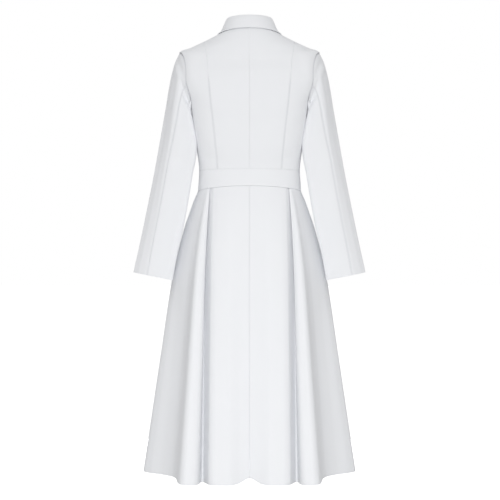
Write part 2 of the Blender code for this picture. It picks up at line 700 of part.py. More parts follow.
def button(name, piece, point, normal, plastic, into):
    """A turned button that faces along the cloth's normal and sits on the piece by the gap."""
    profile = np.array([
        (0.0, 0.0), (BUTTON_RADIUS * 0.86, 0.0), (BUTTON_RADIUS, BUTTON_THICK * 0.45),
        (BUTTON_RADIUS * 0.93, BUTTON_THICK), (BUTTON_RADIUS * 0.72, BUTTON_THICK - BUTTON_SINK),
        (0.0, BUTTON_THICK - BUTTON_SINK),
    ])
    mesh = bpy.data.meshes.new(name)
    mesh.from_pydata([(x, 0.0, z) for x, z in profile], [(i, i + 1) for i in range(len(profile) - 1)], [])
    mesh.materials.append(plastic)
    made = bpy.data.objects.new(name, mesh)
    into.objects.link(made)
    turned = made.modifiers.new("turned", "SCREW")
    turned.steps = turned.render_steps = 14
    turned.use_merge_vertices = True
    turned.merge_threshold = 1e-5
    turned.use_normal_calculate = True
    made.location = point + normal * (seat(piece, point, normal) + BUTTON_GAP)
    tilt = np.arctan2(normal[2], -normal[1])
    made.rotation_euler = (np.pi / 2 - tilt, 0.0, 0.0)
    return made


def bodice(crepe, into):
    for side, on_right in (("left", False), ("right", True)):
        for place, front in (("back", False), ("front", True)):
            centre, flank = centre_panel(front), side_panel(front)
            step = FRONT_ANGLE if front else PANEL_ANGLE
            bodice_panel(f"bodice_{place}_{side}", centre, step, front, on_right, crepe, into)
            bodice_panel(f"bodice_side_{place}_{side}", flank, PANEL_ANGLE, front, on_right, crepe, into)


def waistband(crepe, into):
    edge = float(front_edge(0.5))
    band_piece("waistband_back", -90.0, 90.0, 19, False, crepe, into)
    band_piece("waistband_front_left", 90.0, edge, 12, False, crepe, into)
    band_piece("waistband_front_right", 90.0, edge, 12, True, crepe, into)


def skirt(crepe, into):
    for side, on_right in (("left", False), ("right", True)):
        skirt_panel(f"skirt_back_{side}", False, on_right, crepe, into)
        skirt_panel(f"skirt_front_{side}", True, on_right, crepe, into)


def sleeves(crepe, into):
    for side, on_right in (("left", False), ("right", True)):
        sleeve_piece(f"sleeve_top_{side}", FRONT_SLEEVE_SEAM, BACK_SLEEVE_SEAM, 13, on_right, crepe, into)
        sleeve_piece(f"sleeve_under_{side}", BACK_SLEEVE_SEAM, FRONT_SLEEVE_SEAM, 9, on_right, crepe, into)


def buttons(plastic, into):
    bpy.context.view_layer.update()
    front, band, skirt_front = (
        into.objects[name] for name in ("bodice_front_right", "waistband_front_right", "skirt_front_right")
    )
    for number, z in enumerate(BODICE_BUTTONS, 1):
        button(f"button_bodice_{number}", front, *front_point(z), plastic, into)
    button("button_waist", band, *front_point(BAND_BUTTON), plastic, into)
    for number, z in enumerate(SKIRT_BUTTONS, 1):
        button(f"button_skirt_{number}", skirt_front, *skirt_front_point(z), plastic, into)


def main():
    clear_scene()
    dress = new_collection("pleated dress")
    crepe = material("crepe", CREPE_COLOUR, 0.75)
    plastic = material("button", BUTTON_COLOUR, 0.30)
    bodice(crepe, dress)
    waistband(crepe, dress)
    skirt(crepe, dress)
    sleeves(crepe, dress)
    collar(crepe, dress)
    buttons(plastic, dress)


main()
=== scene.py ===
"""The looks of a white pleated coat dress, worn and hollow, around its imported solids.

Metres, +Z up. The wearer faces -Y and their left arm is at +X; the origin is in the middle
of the neck. Each cloth piece is a thin sheet on the form of its solid: a grid of points
worked out by a formula, with its edges turned in at the seams and turned up at the hems.
A grid's rows run up the garment, and its columns run from the centre back over the
wearer's left to the centre front. A piece on the right is the mirrored grid.
"""

import bpy
import numpy as np
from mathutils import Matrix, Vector
from mathutils.geometry import delaunay_2d_cdt


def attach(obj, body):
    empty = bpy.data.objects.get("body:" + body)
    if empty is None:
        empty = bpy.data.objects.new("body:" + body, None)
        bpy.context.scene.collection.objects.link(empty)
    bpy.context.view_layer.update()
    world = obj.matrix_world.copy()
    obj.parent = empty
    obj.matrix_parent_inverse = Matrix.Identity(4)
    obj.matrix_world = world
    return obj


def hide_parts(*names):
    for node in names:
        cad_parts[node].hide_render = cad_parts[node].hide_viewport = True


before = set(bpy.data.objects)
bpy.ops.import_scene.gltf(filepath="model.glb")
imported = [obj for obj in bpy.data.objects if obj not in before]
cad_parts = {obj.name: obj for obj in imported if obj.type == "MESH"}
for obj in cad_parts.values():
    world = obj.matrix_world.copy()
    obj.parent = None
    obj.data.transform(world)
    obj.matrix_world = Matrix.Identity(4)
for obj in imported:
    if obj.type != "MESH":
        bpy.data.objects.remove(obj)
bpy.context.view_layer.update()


# Bodice
# Eight panels of white crepe, sewn edge to edge along shoulder princess seams and pressed
# open. All are cut out of one ringed surface, which follows a general figure; the right
# front lies over the left.

CLOTH = 0.0007              # the sheet's thickness, its face level with the solid's
SOLID_WALL = 0.0016         # the solid's wall, on whose middle the formulas run
SEAM_KINDS = {              # how round its edge turns in, and how much painted shade darkens it
    "seam": (0.0006, 0.10),
    "armhole": (0.0008, 0.70),
    "soft seam": (0.0008, 0.38),
    "faint seam": (0.0005, 0.02),
}
LINE_TOP, LINE_LOW = -0.105, -0.165     # the heights between which a soft seam's painted shade comes in
SEAM_GAP = 0.0001           # between two sheets at their seam
SEAM_ALLOWANCE = 0.007      # the strip turned in behind a seam
SEAM_BEND = 0.0010          # along the round of a seam, from the strip to the face
EDGE_ROLL = 0.0007          # how round a finished edge turns under
HEM_ALLOWANCE, EDGE_ALLOWANCE = 0.034, 0.010            # how far back a hem and an edge go

LIFT = 0.0036               # how far the right front stands out over the left
LIFT_START, LIFT_END = 0.046, 0.022     # from the centre line, where it starts and is whole
OVERLAP = 0.018             # each front runs this far past the centre front

# Rings of the bodice from the waist seam up: half widths and depths, squareness, and the
# heights of the side, the centre back and the centre front. A ring's number is its place.
TORSO_COLUMNS = ("width", "back", "front", "square_back", "square_front", "z_side", "z_back", "z_front")
TORSO = {
    "waist seam": (0.1364, 0.0880, 0.0960, 2.50, 2.10, -0.4225, -0.4118, -0.4220),
    "waistband top": (0.1332, 0.0860, 0.0950, 3.00, 2.20, -0.3700, -0.3675, -0.3700),
    "ribs": (0.1395, 0.0945, 0.1110, 3.35, 2.25, -0.3100, -0.3100, -0.3100),
    "bust": (0.1470, 0.1010, 0.1290, 3.60, 2.30, -0.2480, -0.2480, -0.2480),
    "underarm": (0.1540, 0.1050, 0.1260, 3.60, 2.30, -0.2000, -0.2000, -0.2000),
    "chest": (0.1915, 0.1045, 0.1140, 2.90, 2.20, -0.1250, -0.1300, -0.1420),
    "shoulder tip": (0.1860, 0.0910, 0.0970, 2.45, 2.20, -0.0545, -0.0800, -0.1040),
    "outer shoulder": (0.1590, 0.0840, 0.0925, 2.25, 2.20, -0.0428, -0.0570, -0.0940),
    "mid shoulder": (0.1170, 0.0750, 0.0870, 2.15, 2.15, -0.0235, -0.0265, -0.0820),
    "neck seam": (0.0700, 0.0620, 0.0780, 2.10, 2.10, 0.0000, 0.0090, -0.0620),
}
WAIST_SEAM, BAND_TOP, UNDERARM, CHEST, TIP, NECK = 0.0, 1.0, 4.0, 5.0, 6.0, 9.0

# Princess seams, by ring: how far each is from the centre
PRINCESS_RINGS = (1.0, 2.0, 3.0, 4.0, 5.0, 6.0, 8.0)
PRINCESS_BACK = (0.0830, 0.0880, 0.0945, 0.1003, 0.1068, 0.1120, 0.1190)
PRINCESS_FRONT = (0.0800, 0.0840, 0.0880, 0.0900, 0.0960, 0.1060, 0.1190)
ARMHOLE_BACK, ARMHOLE_FRONT = 36.0, 33.0                # degrees from the side line at its widest
ARMHOLE_ROUND_BACK, ARMHOLE_ROUND_FRONT = 0.85, 1.5     # 1 is an oval, more is pointed

# Soft creases of a bodice panel, seen from the back or the front on the wearer's left: from
# (x0, z0) to (x1, z1), the width, and the depth, positive for a ridge, negative for a trough
BACK_CREASES = (
    (0.128, -0.050, 0.126, -0.120, 0.014, -0.0014),
    (0.160, -0.060, 0.152, -0.175, 0.016, 0.0034),
    (0.150, -0.175, 0.142, -0.330, 0.012, 0.0020),
    (0.130, -0.205, 0.085, -0.235, 0.013, -0.0012),
    (0.128, -0.330, 0.060, -0.352, 0.010, -0.0013),
    (0.120, -0.300, 0.030, -0.322, 0.014, 0.0010),
    (0.040, -0.030, 0.125, -0.052, 0.010, 0.0014),
    (-0.060, -0.078, 0.150, -0.090, 0.024, -0.0026),
)
FRONT_CREASES = (
    (0.150, -0.190, 0.075, -0.225, 0.014, -0.0016),
    (0.148, -0.215, 0.088, -0.262, 0.011, 0.0012),
    (0.165, -0.085, 0.120, -0.170, 0.014, -0.0016),
    (0.128, -0.320, 0.055, -0.345, 0.011, -0.0012),
    (0.020, -0.180, 0.090, -0.205, 0.012, -0.0010),
    (0.020, -0.300, 0.085, -0.290, 0.012, -0.0009),
)


def smooth(low, high, x):
    """0 up to low, 1 from high, and an S-curve between them."""
    share = np.clip((np.asarray(x, float) - low) / (high - low), 0.0, 1.0)
    return share * share * (3.0 - 2.0 * share)


def through(at, values, x):
    """A cubic through the values at those places, read at x.

    Its slope at a place is the harmonic mean of the slopes beside it, or level where they
    differ in sign, so that it never overshoots.
    """
    at, values, x = np.asarray(at, float), np.asarray(values, float), np.asarray(x, float)
    gaps = np.diff(at).reshape((-1,) + (1,) * (values.ndim - 1))
    rise = np.diff(values, axis=0) / gaps
    below, above = rise[:-1], rise[1:]
    total = np.where(np.abs(below + above) < 1e-12, 1.0, below + above)
    inner = np.where(below * above > 0, 2 * below * above / total, 0.0)
    slopes = np.concatenate([rise[:1], inner, rise[-1:]])
    i = np.clip(np.searchsorted(at, x, side="right") - 1, 0, len(at) - 2)
    span = at[i + 1] - at[i]
    s = (x - at[i]) / span
    if values.ndim > 1:
        shape = s.shape + (1,) * (values.ndim - 1)
        s, span = s.reshape(shape), span.reshape(shape)
    return ((1 + 2 * s) * (1 - s) ** 2 * values[i] + s * (1 - s) ** 2 * span * slopes[i]
            + s * s * (3 - 2 * s) * values[i + 1] + s * s * (s - 1) * span * slopes[i + 1])


def unit(vectors):
    """The vectors at length one."""
    return vectors / np.maximum(np.linalg.norm(vectors, axis=-1, keepdims=True), 1e-12)


def torso_size(name, ring):
    """One column of the bodice's table, read smoothly between its rings."""
    place = TORSO_COLUMNS.index(name)
    return through(np.arange(len(TORSO)), [row[place] for row in TORSO.values()], ring)


def torso(angle, ring):
    """The bodice's point at degrees from the centre back and at a ring.

    In plan a ring is a superellipse, wider than deep. Its height goes from that of its
    side to that of its centre with the square of the cosine.
    """
    turn = np.radians(angle)
    sine, cosine = np.sin(turn), np.cos(turn)
    power = 2.0 / np.where(cosine > 0, torso_size("square_back", ring), torso_size("square_front", ring))
    depth = np.where(cosine > 0, torso_size("back", ring), torso_size("front", ring))
    centre = np.where(cosine > 0, torso_size("z_back", ring), torso_size("z_front", ring))
    side = torso_size("z_side", ring)
    return np.stack([
        torso_size("width", ring) * np.sign(sine) * np.abs(sine) ** power,
        depth * np.sign(cosine) * np.abs(cosine) ** power,
        side + (centre - side) * cosine ** 2,
    ], axis=-1)


def torso_normal(angle, ring):
    """Which way the cloth faces there: the way up across the way round."""
    step = 1e-3
    along = torso(angle + step, ring) - torso(angle - step, ring)
    up = torso(angle, ring + step) - torso(angle, ring - step)
    return unit(np.cross(up, along))


def angle_at(x, ring, front):
    """How many degrees from its centre a ring's back or front is that far from the centre line."""
    share = np.clip(np.asarray(x) / torso_size("width", ring), 0.0, 1.0)
    square = torso_size("square_front" if front else "square_back", ring)
    return np.degrees(np.arcsin(share ** (square / 2.0)))


def princess(front, ring):
    """The princess seam's angle, which comes to 90 degrees at the shoulder seam."""
    away = through(PRINCESS_RINGS, PRINCESS_FRONT if front else PRINCESS_BACK, ring)
    angle = angle_at(away, ring, front)
    angle = np.where(ring < princess_end(front), angle, 90.0)
    return 180.0 - angle if front else angle


def princess_end(front):
    """The ring at which the princess seam meets the shoulder seam."""
    rings = np.linspace(7.0, 8.6, 321)
    away = through(PRINCESS_RINGS, PRINCESS_FRONT if front else PRINCESS_BACK, rings)
    return rings[np.argmax(away >= torso_size("width", rings))]


def armhole(sine, front):
    """The armhole's angle on the bodice, by the sine of the way round it from the shoulder.

    It leaves the side line by its widest times a power of the sine, and its ring is the
    chest's plus the cosine.
    """
    widest = np.where(front, ARMHOLE_FRONT, -ARMHOLE_BACK)
    return 90.0 + widest * sine ** np.where(front, ARMHOLE_ROUND_FRONT, ARMHOLE_ROUND_BACK)


def side_edge(front, ring):
    """The side seam and the shoulder seam at 90 degrees, and the armhole between them."""
    return armhole(np.sqrt(np.clip(1.0 - (ring - CHEST) ** 2, 0.0, None)), front)


def lifted(points, normals):
    """The right front stands out over the left's edge."""
    return points + normals * (LIFT * smooth(-LIFT_START, -LIFT_END, points[..., :1]))


def mirrored(points, normals, laps):
    """The grid on the wearer's right, lifted where it laps over the left front."""
    points, normals = points * (-1, 1, 1), normals * (-1, 1, 1)
    return (lifted(points, normals) if laps else points), normals


def creased(points, normals, creases, face):
    """Moves cloth along its normal at each crease.

    Seen from the back (face 1) or the front (face -1), a crease is a straight line. Across
    it the depth follows a bell curve of its width, and it fades out towards both ends.
    """
    flat = points[..., [0, 2]]
    towards = smooth(0.0, 0.02, face * points[..., 1])
    rise = np.zeros(points.shape[:-1])
    for x0, z0, x1, z1, width, depth in creases:
        start, run = np.array([x0, z0]), np.array([x1 - x0, z1 - z0])
        share = np.clip((flat - start) @ run / (run @ run), 0.0, 1.0)
        off = np.linalg.norm(flat - start - share[..., None] * run, axis=-1)
        fade = smooth(-0.1, 0.35, share) * smooth(1.05, 0.5, share)
        rise += depth * np.exp(-((off / width) ** 2)) * fade
    return points + normals * (rise * towards)[..., None]


def edge_steps(kind):
    """How an edge turns, as pairs: out along the cloth, and in behind its face.

    A seam is a quarter round and then straight in, "edge" a half round and then back a
    little, "hem" a half round and then back up behind the cloth, and "raw" nothing.
    """
    if kind == "raw":
        return np.zeros((0, 2))
    if kind in SEAM_KINDS:
        turn = np.radians((22.5, 45.0, 67.5, 90.0))
        roll = SEAM_KINDS[kind][0]
        round_it = roll * np.stack([np.sin(turn), 1 - np.cos(turn)], axis=1)
        return np.concatenate([round_it, [(roll, SEAM_ALLOWANCE)]])
    turn = np.radians((30.0, 60.0, 90.0, 120.0, 150.0, 180.0))
    round_it = EDGE_ROLL * np.stack([np.sin(turn), 1 - np.cos(turn)], axis=1)
    back = HEM_ALLOWANCE if kind == "hem" else EDGE_ALLOWANCE
    return np.concatenate([round_it, [(-0.5 * back, 2 * EDGE_ROLL), (-back, 2 * EDGE_ROLL)]])


def square_to(edge, inside, normals):
    """The way out of a grid at one edge: along the cloth, square to the edge."""
    out = unit(np.cross(np.gradient(edge, axis=0), normals))
    return out * np.sign((out * (edge - inside)).sum(-1, keepdims=True))


def turned(points, normals, kinds):
    """The grid with its bottom, top, first and last edges turned in.

    An edge is drawn back by its roll. New rows and columns then carry on round it: each
    goes out square to the edge and in against the normal. In a corner the ways out add
    up, and the deeper way in counts.
    """
    steps = [edge_steps(kind) for kind in kinds]
    draw = [SEAM_KINDS[kind][0] + 0.5 * SEAM_GAP if kind in SEAM_KINDS else EDGE_ROLL * (kind != "raw")
            for kind in kinds]
    edges = [(points[0], points[1], normals[0]), (points[-1], points[-2], normals[-1]),
             (points[:, 0], points[:, 1], normals[:, 0]), (points[:, -1], points[:, -2], normals[:, -1])]
    out = [square_to(*edge) for edge in edges]
    points = points.copy()
    points[0] -= out[0] * draw[0]
    points[-1] -= out[1] * draw[1]
    points[:, 0] -= out[2] * draw[2]
    points[:, -1] -= out[3] * draw[3]
    pad_rows, pad_columns = (len(steps[0]), len(steps[1])), (len(steps[2]), len(steps[3]))
    rows, columns = points.shape[:2]
    both = (pad_rows, pad_columns, (0, 0))
    points, normals = np.pad(points, both, mode="edge"), np.pad(normals, both, mode="edge")
    row_step = np.concatenate([steps[0][::-1], np.zeros((rows, 2)), steps[1]])
    column_step = np.concatenate([steps[2][::-1], np.zeros((columns, 2)), steps[3]])
    pads = (pad_columns, pad_columns, pad_rows, pad_rows)
    ways = [np.pad(way, (pad, (0, 0)), mode="edge") for way, pad in zip(out, pads)]
    low = np.arange(len(row_step))[:, None, None] < pad_rows[0]
    left = np.arange(len(column_step))[None, :, None] < pad_columns[0]
    points = points + row_step[:, None, :1] * np.where(low, ways[0][None], ways[1][None])
    points = points + column_step[None, :, :1] * np.where(left, ways[2][:, None], ways[3][:, None])
    return points - normals * np.maximum(row_step[:, None, 1:], column_step[None, :, 1:])


def lengths(points, axis):
    """How far each point of a grid is along the cloth from the grid's first edge."""
    gaps = np.linalg.norm(np.diff(points, axis=axis), axis=-1)
    return np.insert(np.cumsum(gaps, axis=axis), 0, 0.0, axis=axis)


def in_scene(name, data):
    """A new object with that mesh, light or camera."""
    made = bpy.data.objects.new(name, data)
    bpy.context.scene.collection.objects.link(made)
    return made


def piece_of(name, points, faces, laid, material):
    """A piece of the dress from its points and faces.

    The map "cut" holds each point's two lengths, across and along the piece.
    """
    mesh = bpy.data.meshes.new(name)
    mesh.from_pydata(points, [], faces)
    corners = np.empty(len(mesh.loops), np.int32)
    mesh.loops.foreach_get("vertex_index", corners)
    mesh.uv_layers.new(name="cut").uv.foreach_set("vector", laid[corners].astype(np.float32).ravel())
    mesh.shade_smooth()
    mesh.materials.append(material)
    piece = in_scene(name, mesh)
    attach(piece, "root")
    return piece


def lay(name, points, normals, kinds, thick=CLOTH, on_right=False):
    """Makes a sheet of crepe from a grid and declares its cut.

    The cut is as wide and as long as the sheet measures along its rows and its columns.
    The attribute "seam" is how far each point is from an edge, and "line" how much painted
    shade that edge's seam gets. A soft seam gets little painted shade above the chest.
    """
    grid = turned(points, normals, kinds)
    across, along = lengths(grid, 1), lengths(grid, 0)
    away = np.stack([along, along[-1:] - along, across, across[:, -1:] - across])
    nearest = away.argmin(axis=0)
    line = np.array([SEAM_KINDS.get(kind, (0.0, 0.0))[1] for kind in kinds])[nearest]
    soft = np.array([kind == "soft seam" for kind in kinds])[nearest]
    line = line * np.where(soft, smooth(LINE_TOP, LINE_LOW, grid[..., 2]), 1.0)
    rows, columns = grid.shape[:2]
    index = np.arange(rows * columns).reshape(rows, columns)
    faces = np.stack([index[:-1, :-1], index[1:, :-1], index[1:, 1:], index[:-1, 1:]], -1).reshape(-1, 4)
    if on_right:
        faces = faces[:, ::-1]
    laid = np.stack([across, along], -1).reshape(-1, 2)
    sheet = piece_of(name, grid.reshape(-1, 3), faces, laid, crepe)
    for key, value in (("seam", away.min(axis=0)), ("line", line)):
        given = sheet.data.attributes.new(key, "FLOAT", "POINT")
        given.data.foreach_set("value", value.astype(np.float32).ravel())
    wall = sheet.modifiers.new("thickness", "SOLIDIFY")
    wall.thickness = thick
    wall.offset = -1.0
    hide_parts(name.removesuffix("_cloth"))
    return sheet


def plug(tree, node, inputs):
    """Sets a node's sockets, and links those that are given another node's output."""
    for key, value in inputs.items():
        if isinstance(value, bpy.types.NodeSocket):
            tree.links.new(value, node.inputs[key])
        else:
            node.inputs[key].default_value = value


def add(tree, kind, inputs=None, **values):
    """A shader node with its settings and its sockets."""
    node = tree.nodes.new(kind)
    for key, value in values.items():
        setattr(node, key, value)
    plug(tree, node, inputs or {})
    return node


def new_finish(name):
    """A new material, with its nodes and its Principled shader."""
    made = bpy.data.materials.new(name)
    made.use_nodes = True
    return made, made.node_tree, made.node_tree.nodes["Principled BSDF"]


def group(name, inputs, outputs):
    """A node group with the inputs and number outputs given, and its two end nodes."""
    made = bpy.data.node_groups.new(name, "ShaderNodeTree")
    for key, kind in inputs.items():
        made.interface.new_socket(key, in_out="INPUT", socket_type=kind)
    for key in outputs:
        made.interface.new_socket(key, in_out="OUTPUT", socket_type="NodeSocketFloat")
    return made, made.nodes.new("NodeGroupInput"), made.nodes.new("NodeGroupOutput")


def painted_seam_shade():
    """The painted shade in a seam's crease: Line where the edge rolls in, down to 0 at Reach out on the face.

    Seam is the distance from the sheet's end, so the face starts past the allowance and
    the bend. Line is how much painted shade that edge gets.
    """
    made, given, put = group("painted seam shade", {"Seam": "NodeSocketFloat", "Line": "NodeSocketFloat",
                                           "Reach": "NodeSocketFloat"}, ("Mask",))
    out = add(made, "ShaderNodeMath", {0: given.outputs["Seam"], 1: SEAM_ALLOWANCE + SEAM_BEND},
              operation="SUBTRACT")
    share = add(made, "ShaderNodeMath", {0: out.outputs[0], 1: given.outputs["Reach"]}, operation="DIVIDE")
    mask = add(made, "ShaderNodeMath", {0: 1.0, 1: share.outputs[0]}, operation="SUBTRACT", use_clamp=True)
    shown = add(made, "ShaderNodeMath", {0: mask.outputs[0], 1: given.outputs["Line"]}, operation="MULTIPLY")
    made.links.new(shown.outputs[0], put.inputs["Mask"])
    return made


def crepe_grain():
    """The pebbled face of crepe: fine noise drawn out along the cloth, over a coarser one.

    Height is the grain's relief, and Tone a slow change from place to place.
    """
    made, given, put = group("crepe grain", {"Cut": "NodeSocketVector", "Grain": "NodeSocketFloat"},
                             ("Height", "Tone"))
    drawn = add(made, "ShaderNodeMapping", {"Vector": given.outputs["Cut"], "Scale": (1.0, 0.55, 1.0)})
    fine = add(made, "ShaderNodeTexNoise", {"Vector": drawn.outputs[0], "Scale": given.outputs["Grain"],
                                            "Detail": 3.0, "Roughness": 0.6})
    coarse = add(made, "ShaderNodeTexNoise", {"Vector": given.outputs["Cut"], "Scale": 260.0, "Detail": 2.0})
    slow = add(made, "ShaderNodeTexNoise", {"Vector": given.outputs["Cut"], "Scale": 9.0, "Detail": 2.0})
    height = add(made, "ShaderNodeMath", {0: coarse.outputs[0], 1: 0.5, 2: fine.outputs[0]},
                 operation="MULTIPLY_ADD")
    made.links.new(height.outputs[0], put.inputs["Height"])
    made.links.new(slow.outputs[0], put.inputs["Tone"])
    return made


def pressed_seam():
    """What a pressed seam leaves on the face: fine puckers that fade out away from it.

    The puckers are noise across the seam, times a fall from 1 at the seam to 0 at Reach.
    """
    made, given, put = group("pressed seam", {"Cut": "NodeSocketVector", "Seam": "NodeSocketFloat",
                                              "Reach": "NodeSocketFloat"}, ("Height",))
    pucker = add(made, "ShaderNodeTexNoise", {"Vector": given.outputs["Cut"], "Scale": 130.0, "Detail": 1.0})
    share = add(made, "ShaderNodeMath", {0: given.outputs["Seam"], 1: given.outputs["Reach"]},
                operation="DIVIDE")
    fall = add(made, "ShaderNodeMath", {0: 1.0, 1: share.outputs[0]}, operation="SUBTRACT", use_clamp=True)
    height = add(made, "ShaderNodeMath", {0: pucker.outputs[0], 1: fall.outputs[0]}, operation="MULTIPLY")
    made.links.new(height.outputs[0], put.inputs["Height"])
    return made


# Painted shade: the seams' creases, the armhole's most, are darkened towards this colour
PAINTED_SEAM_SHADE = (0.70, 0.71, 0.74, 1.0)
CREPE_LIGHT = (0.885, 0.895, 0.915, 1.0)
CREPE_DEEP = (0.865, 0.876, 0.900, 1.0)

crepe, tree, face = new_finish("white crepe")
cut = add(tree, "ShaderNodeUVMap", uv_map="cut")
seam = add(tree, "ShaderNodeAttribute", attribute_name="seam")
line = add(tree, "ShaderNodeAttribute", attribute_name="line")
grain = add(tree, "ShaderNodeGroup", {"Cut": cut.outputs[0], "Grain": 1500.0}, node_tree=crepe_grain())
press = add(tree, "ShaderNodeGroup", {"Cut": cut.outputs[0], "Seam": seam.outputs["Fac"], "Reach": 0.012},
            node_tree=pressed_seam())
shade = add(tree, "ShaderNodeGroup", {"Seam": seam.outputs["Fac"], "Line": line.outputs["Fac"],
                                      "Reach": 0.0028}, node_tree=painted_seam_shade())
ground = add(tree, "ShaderNodeMix", {"Factor": grain.outputs["Tone"], "A": CREPE_DEEP, "B": CREPE_LIGHT},
             data_type="RGBA")
# the crepe's colour, with painted shade mixed in along its seams
colour = add(tree, "ShaderNodeMix", {"Factor": shade.outputs["Mask"], "A": ground.outputs["Result"],
                                     "B": PAINTED_SEAM_SHADE}, data_type="RGBA")
puckers = add(tree, "ShaderNodeBump", {"Height": press.outputs["Height"], "Distance": 0.0010,
                                       "Strength": 0.35})
relief = add(tree, "ShaderNodeBump", {"Height": grain.outputs["Height"], "Distance": 0.00012,
                                      "Strength": 0.45, "Normal": puckers.outputs[0]})
rough = add(tree, "ShaderNodeMapRange", {"Value": grain.outputs["Height"], "From Min": 0.3,
                                         "From Max": 1.1, "To Min": 0.86, "To Max": 0.70})
plug(tree, face, {"Base Color": colour.outputs["Result"], "Roughness": rough.outputs[0],
                  "Normal": relief.outputs[0], "Specular IOR Level": 0.28, "Sheen Weight": 0.06,
                  "Sheen Roughness": 0.45})


CROWDING = 1.6              # 1 is evenly spaced, more is closer together at the far end
SHORT_OF_END = 0.012        # a side panel's last ring, before its two seams meet


def bodice_grid(start, end, rings, columns):
    """The part of the bodice between two angles at each ring, evenly across."""
    share = np.linspace(0.0, 1.0, columns)
    angle = start[:, None] * (1 - share) + end[:, None] * share
    ring = np.repeat(rings[:, None], columns, axis=1)
    return torso(angle, ring), torso_normal(angle, ring)


def centre_rings(end, rows):
    """Rings from the waistband to the neck, closer together up to where the seam ends."""
    below = end - (end - BAND_TOP) * np.linspace(1.0, 0.0, rows) ** CROWDING
    return np.concatenate([below, np.linspace(end, NECK, rows // 5)[1:]])


def side_rings(end, rows):
    """Rings from the waistband to the princess seam's end, closer where the armhole turns."""
    hole = CHEST - np.cos(np.linspace(0.0, np.pi, rows))
    above = TIP + (end - SHORT_OF_END - TIP) * (1 - np.linspace(1.0, 0.0, rows // 2) ** CROWDING)
    return np.concatenate([np.linspace(BAND_TOP, UNDERARM, rows // 2)[:-1], hole, above[1:]])


for side, on_right in (("left", False), ("right", True)):
    for place, front in (("back", False), ("front", True)):
        seam_end = princess_end(front)
        rings, flank_rings = centre_rings(seam_end, 110), side_rings(seam_end, 80)
        centre_line = 180.0 + angle_at(OVERLAP, rings, True) if front else np.zeros(len(rings))
        lines = [centre_line, princess(front, rings)]
        flank_lines = [princess(front, flank_rings), side_edge(front, flank_rings)]
        kinds, flank_kinds = ["faint seam", "soft seam"], ["soft seam", "armhole"]
        if front:
            kinds[0] = "edge"
            for pair in (lines, flank_lines, kinds, flank_kinds):
                pair.reverse()
        for name, grid, ends in (
            (f"bodice_{place}_{side}", bodice_grid(*lines, rings, 44), kinds),
            (f"bodice_side_{place}_{side}", bodice_grid(*flank_lines, flank_rings, 40), flank_kinds),
        ):
            points, normals = grid
            points = points + normals * (SOLID_WALL / 2)
            points = creased(points, normals, FRONT_CREASES if front else BACK_CREASES, -1 if front else 1)
            if on_right:
                points, normals = mirrored(points, normals, front)
            lay(f"{name}_cloth", points, normals, ("seam", "seam", *ends), on_right=on_right)


# Waistband
# A straight band of crepe, two layers with interfacing, set between the bodice and the
# skirt. It is cut in three: one back and two fronts, whose ends lap at the centre front.

BAND_WALL = 0.0020          # the solid's wall
BAND_CLOTH = 0.0012         # the sheet's thickness, two layers
BAND_WAVE = 0.00045         # how far the band stands in and out as it goes round
BAND_END = 180.0 + float(angle_at(OVERLAP, 0.5, True))

for name, start, end, columns, last_edge in (
    ("waistband_back", -90.0, 90.0, 150, "seam"),
    ("waistband_front_left", 90.0, BAND_END, 84, "edge"),
    ("waistband_front_right", 90.0, BAND_END, 84, "edge"),
):
    angle, ring = np.meshgrid(np.linspace(start, end, columns), np.linspace(WAIST_SEAM, BAND_TOP, 26))
    points, normals = torso(angle, ring), torso_normal(angle, ring)
    # Five waves and nine lesser ones in a whole turn, which fade out towards both seams
    waves = np.cos(np.radians(angle * 5.0)) + 0.6 * np.cos(np.radians(angle * 9.0 + 40.0))
    points = points + normals * (BAND_WALL / 2 + BAND_WAVE * np.sin(np.pi * ring) * waves)[..., None]
    on_right = name.endswith("right")
    if on_right:
        points, normals = mirrored(points, normals, True)
    kinds = ("faint seam", "faint seam", "seam", last_edge)
    lay(f"{name}_cloth", points, normals, kinds, thick=BAND_CLOTH, on_right=on_right)


# Skirt
# Four flared panels of the same crepe, each with one deep knife pleat that is pressed at
# the waist and opens towards the hem. Centre back, sides and waist are seams; the hem is
# turned up and sewn blind.

HEM_Z = -1.1720
WAIST_GAP = 0.0004          # from the waist seam down to the skirt's upper edge
# How far the skirt has spread from its waist line to its hem line, by its share of the way down
FLARE = ((0.0, 0.0), (0.034, 0.078), (0.058, 0.122), (0.126, 0.243), (0.22, 0.372),
         (0.32, 0.480), (0.569, 0.672), (1.0, 1.0))
LAYER = 0.0026              # how much deeper each layer of the pleat lies at the waist
NOTCH, NOTCH_WIDTH = 0.014, 0.022       # how far the hem rises at the centre back seam
SIDE_RISE = 0.0022          # how far it rises round the sides
SIDE_FROM, SIDE_TO = 0.10, 0.19         # from the centre line, where that starts and is whole
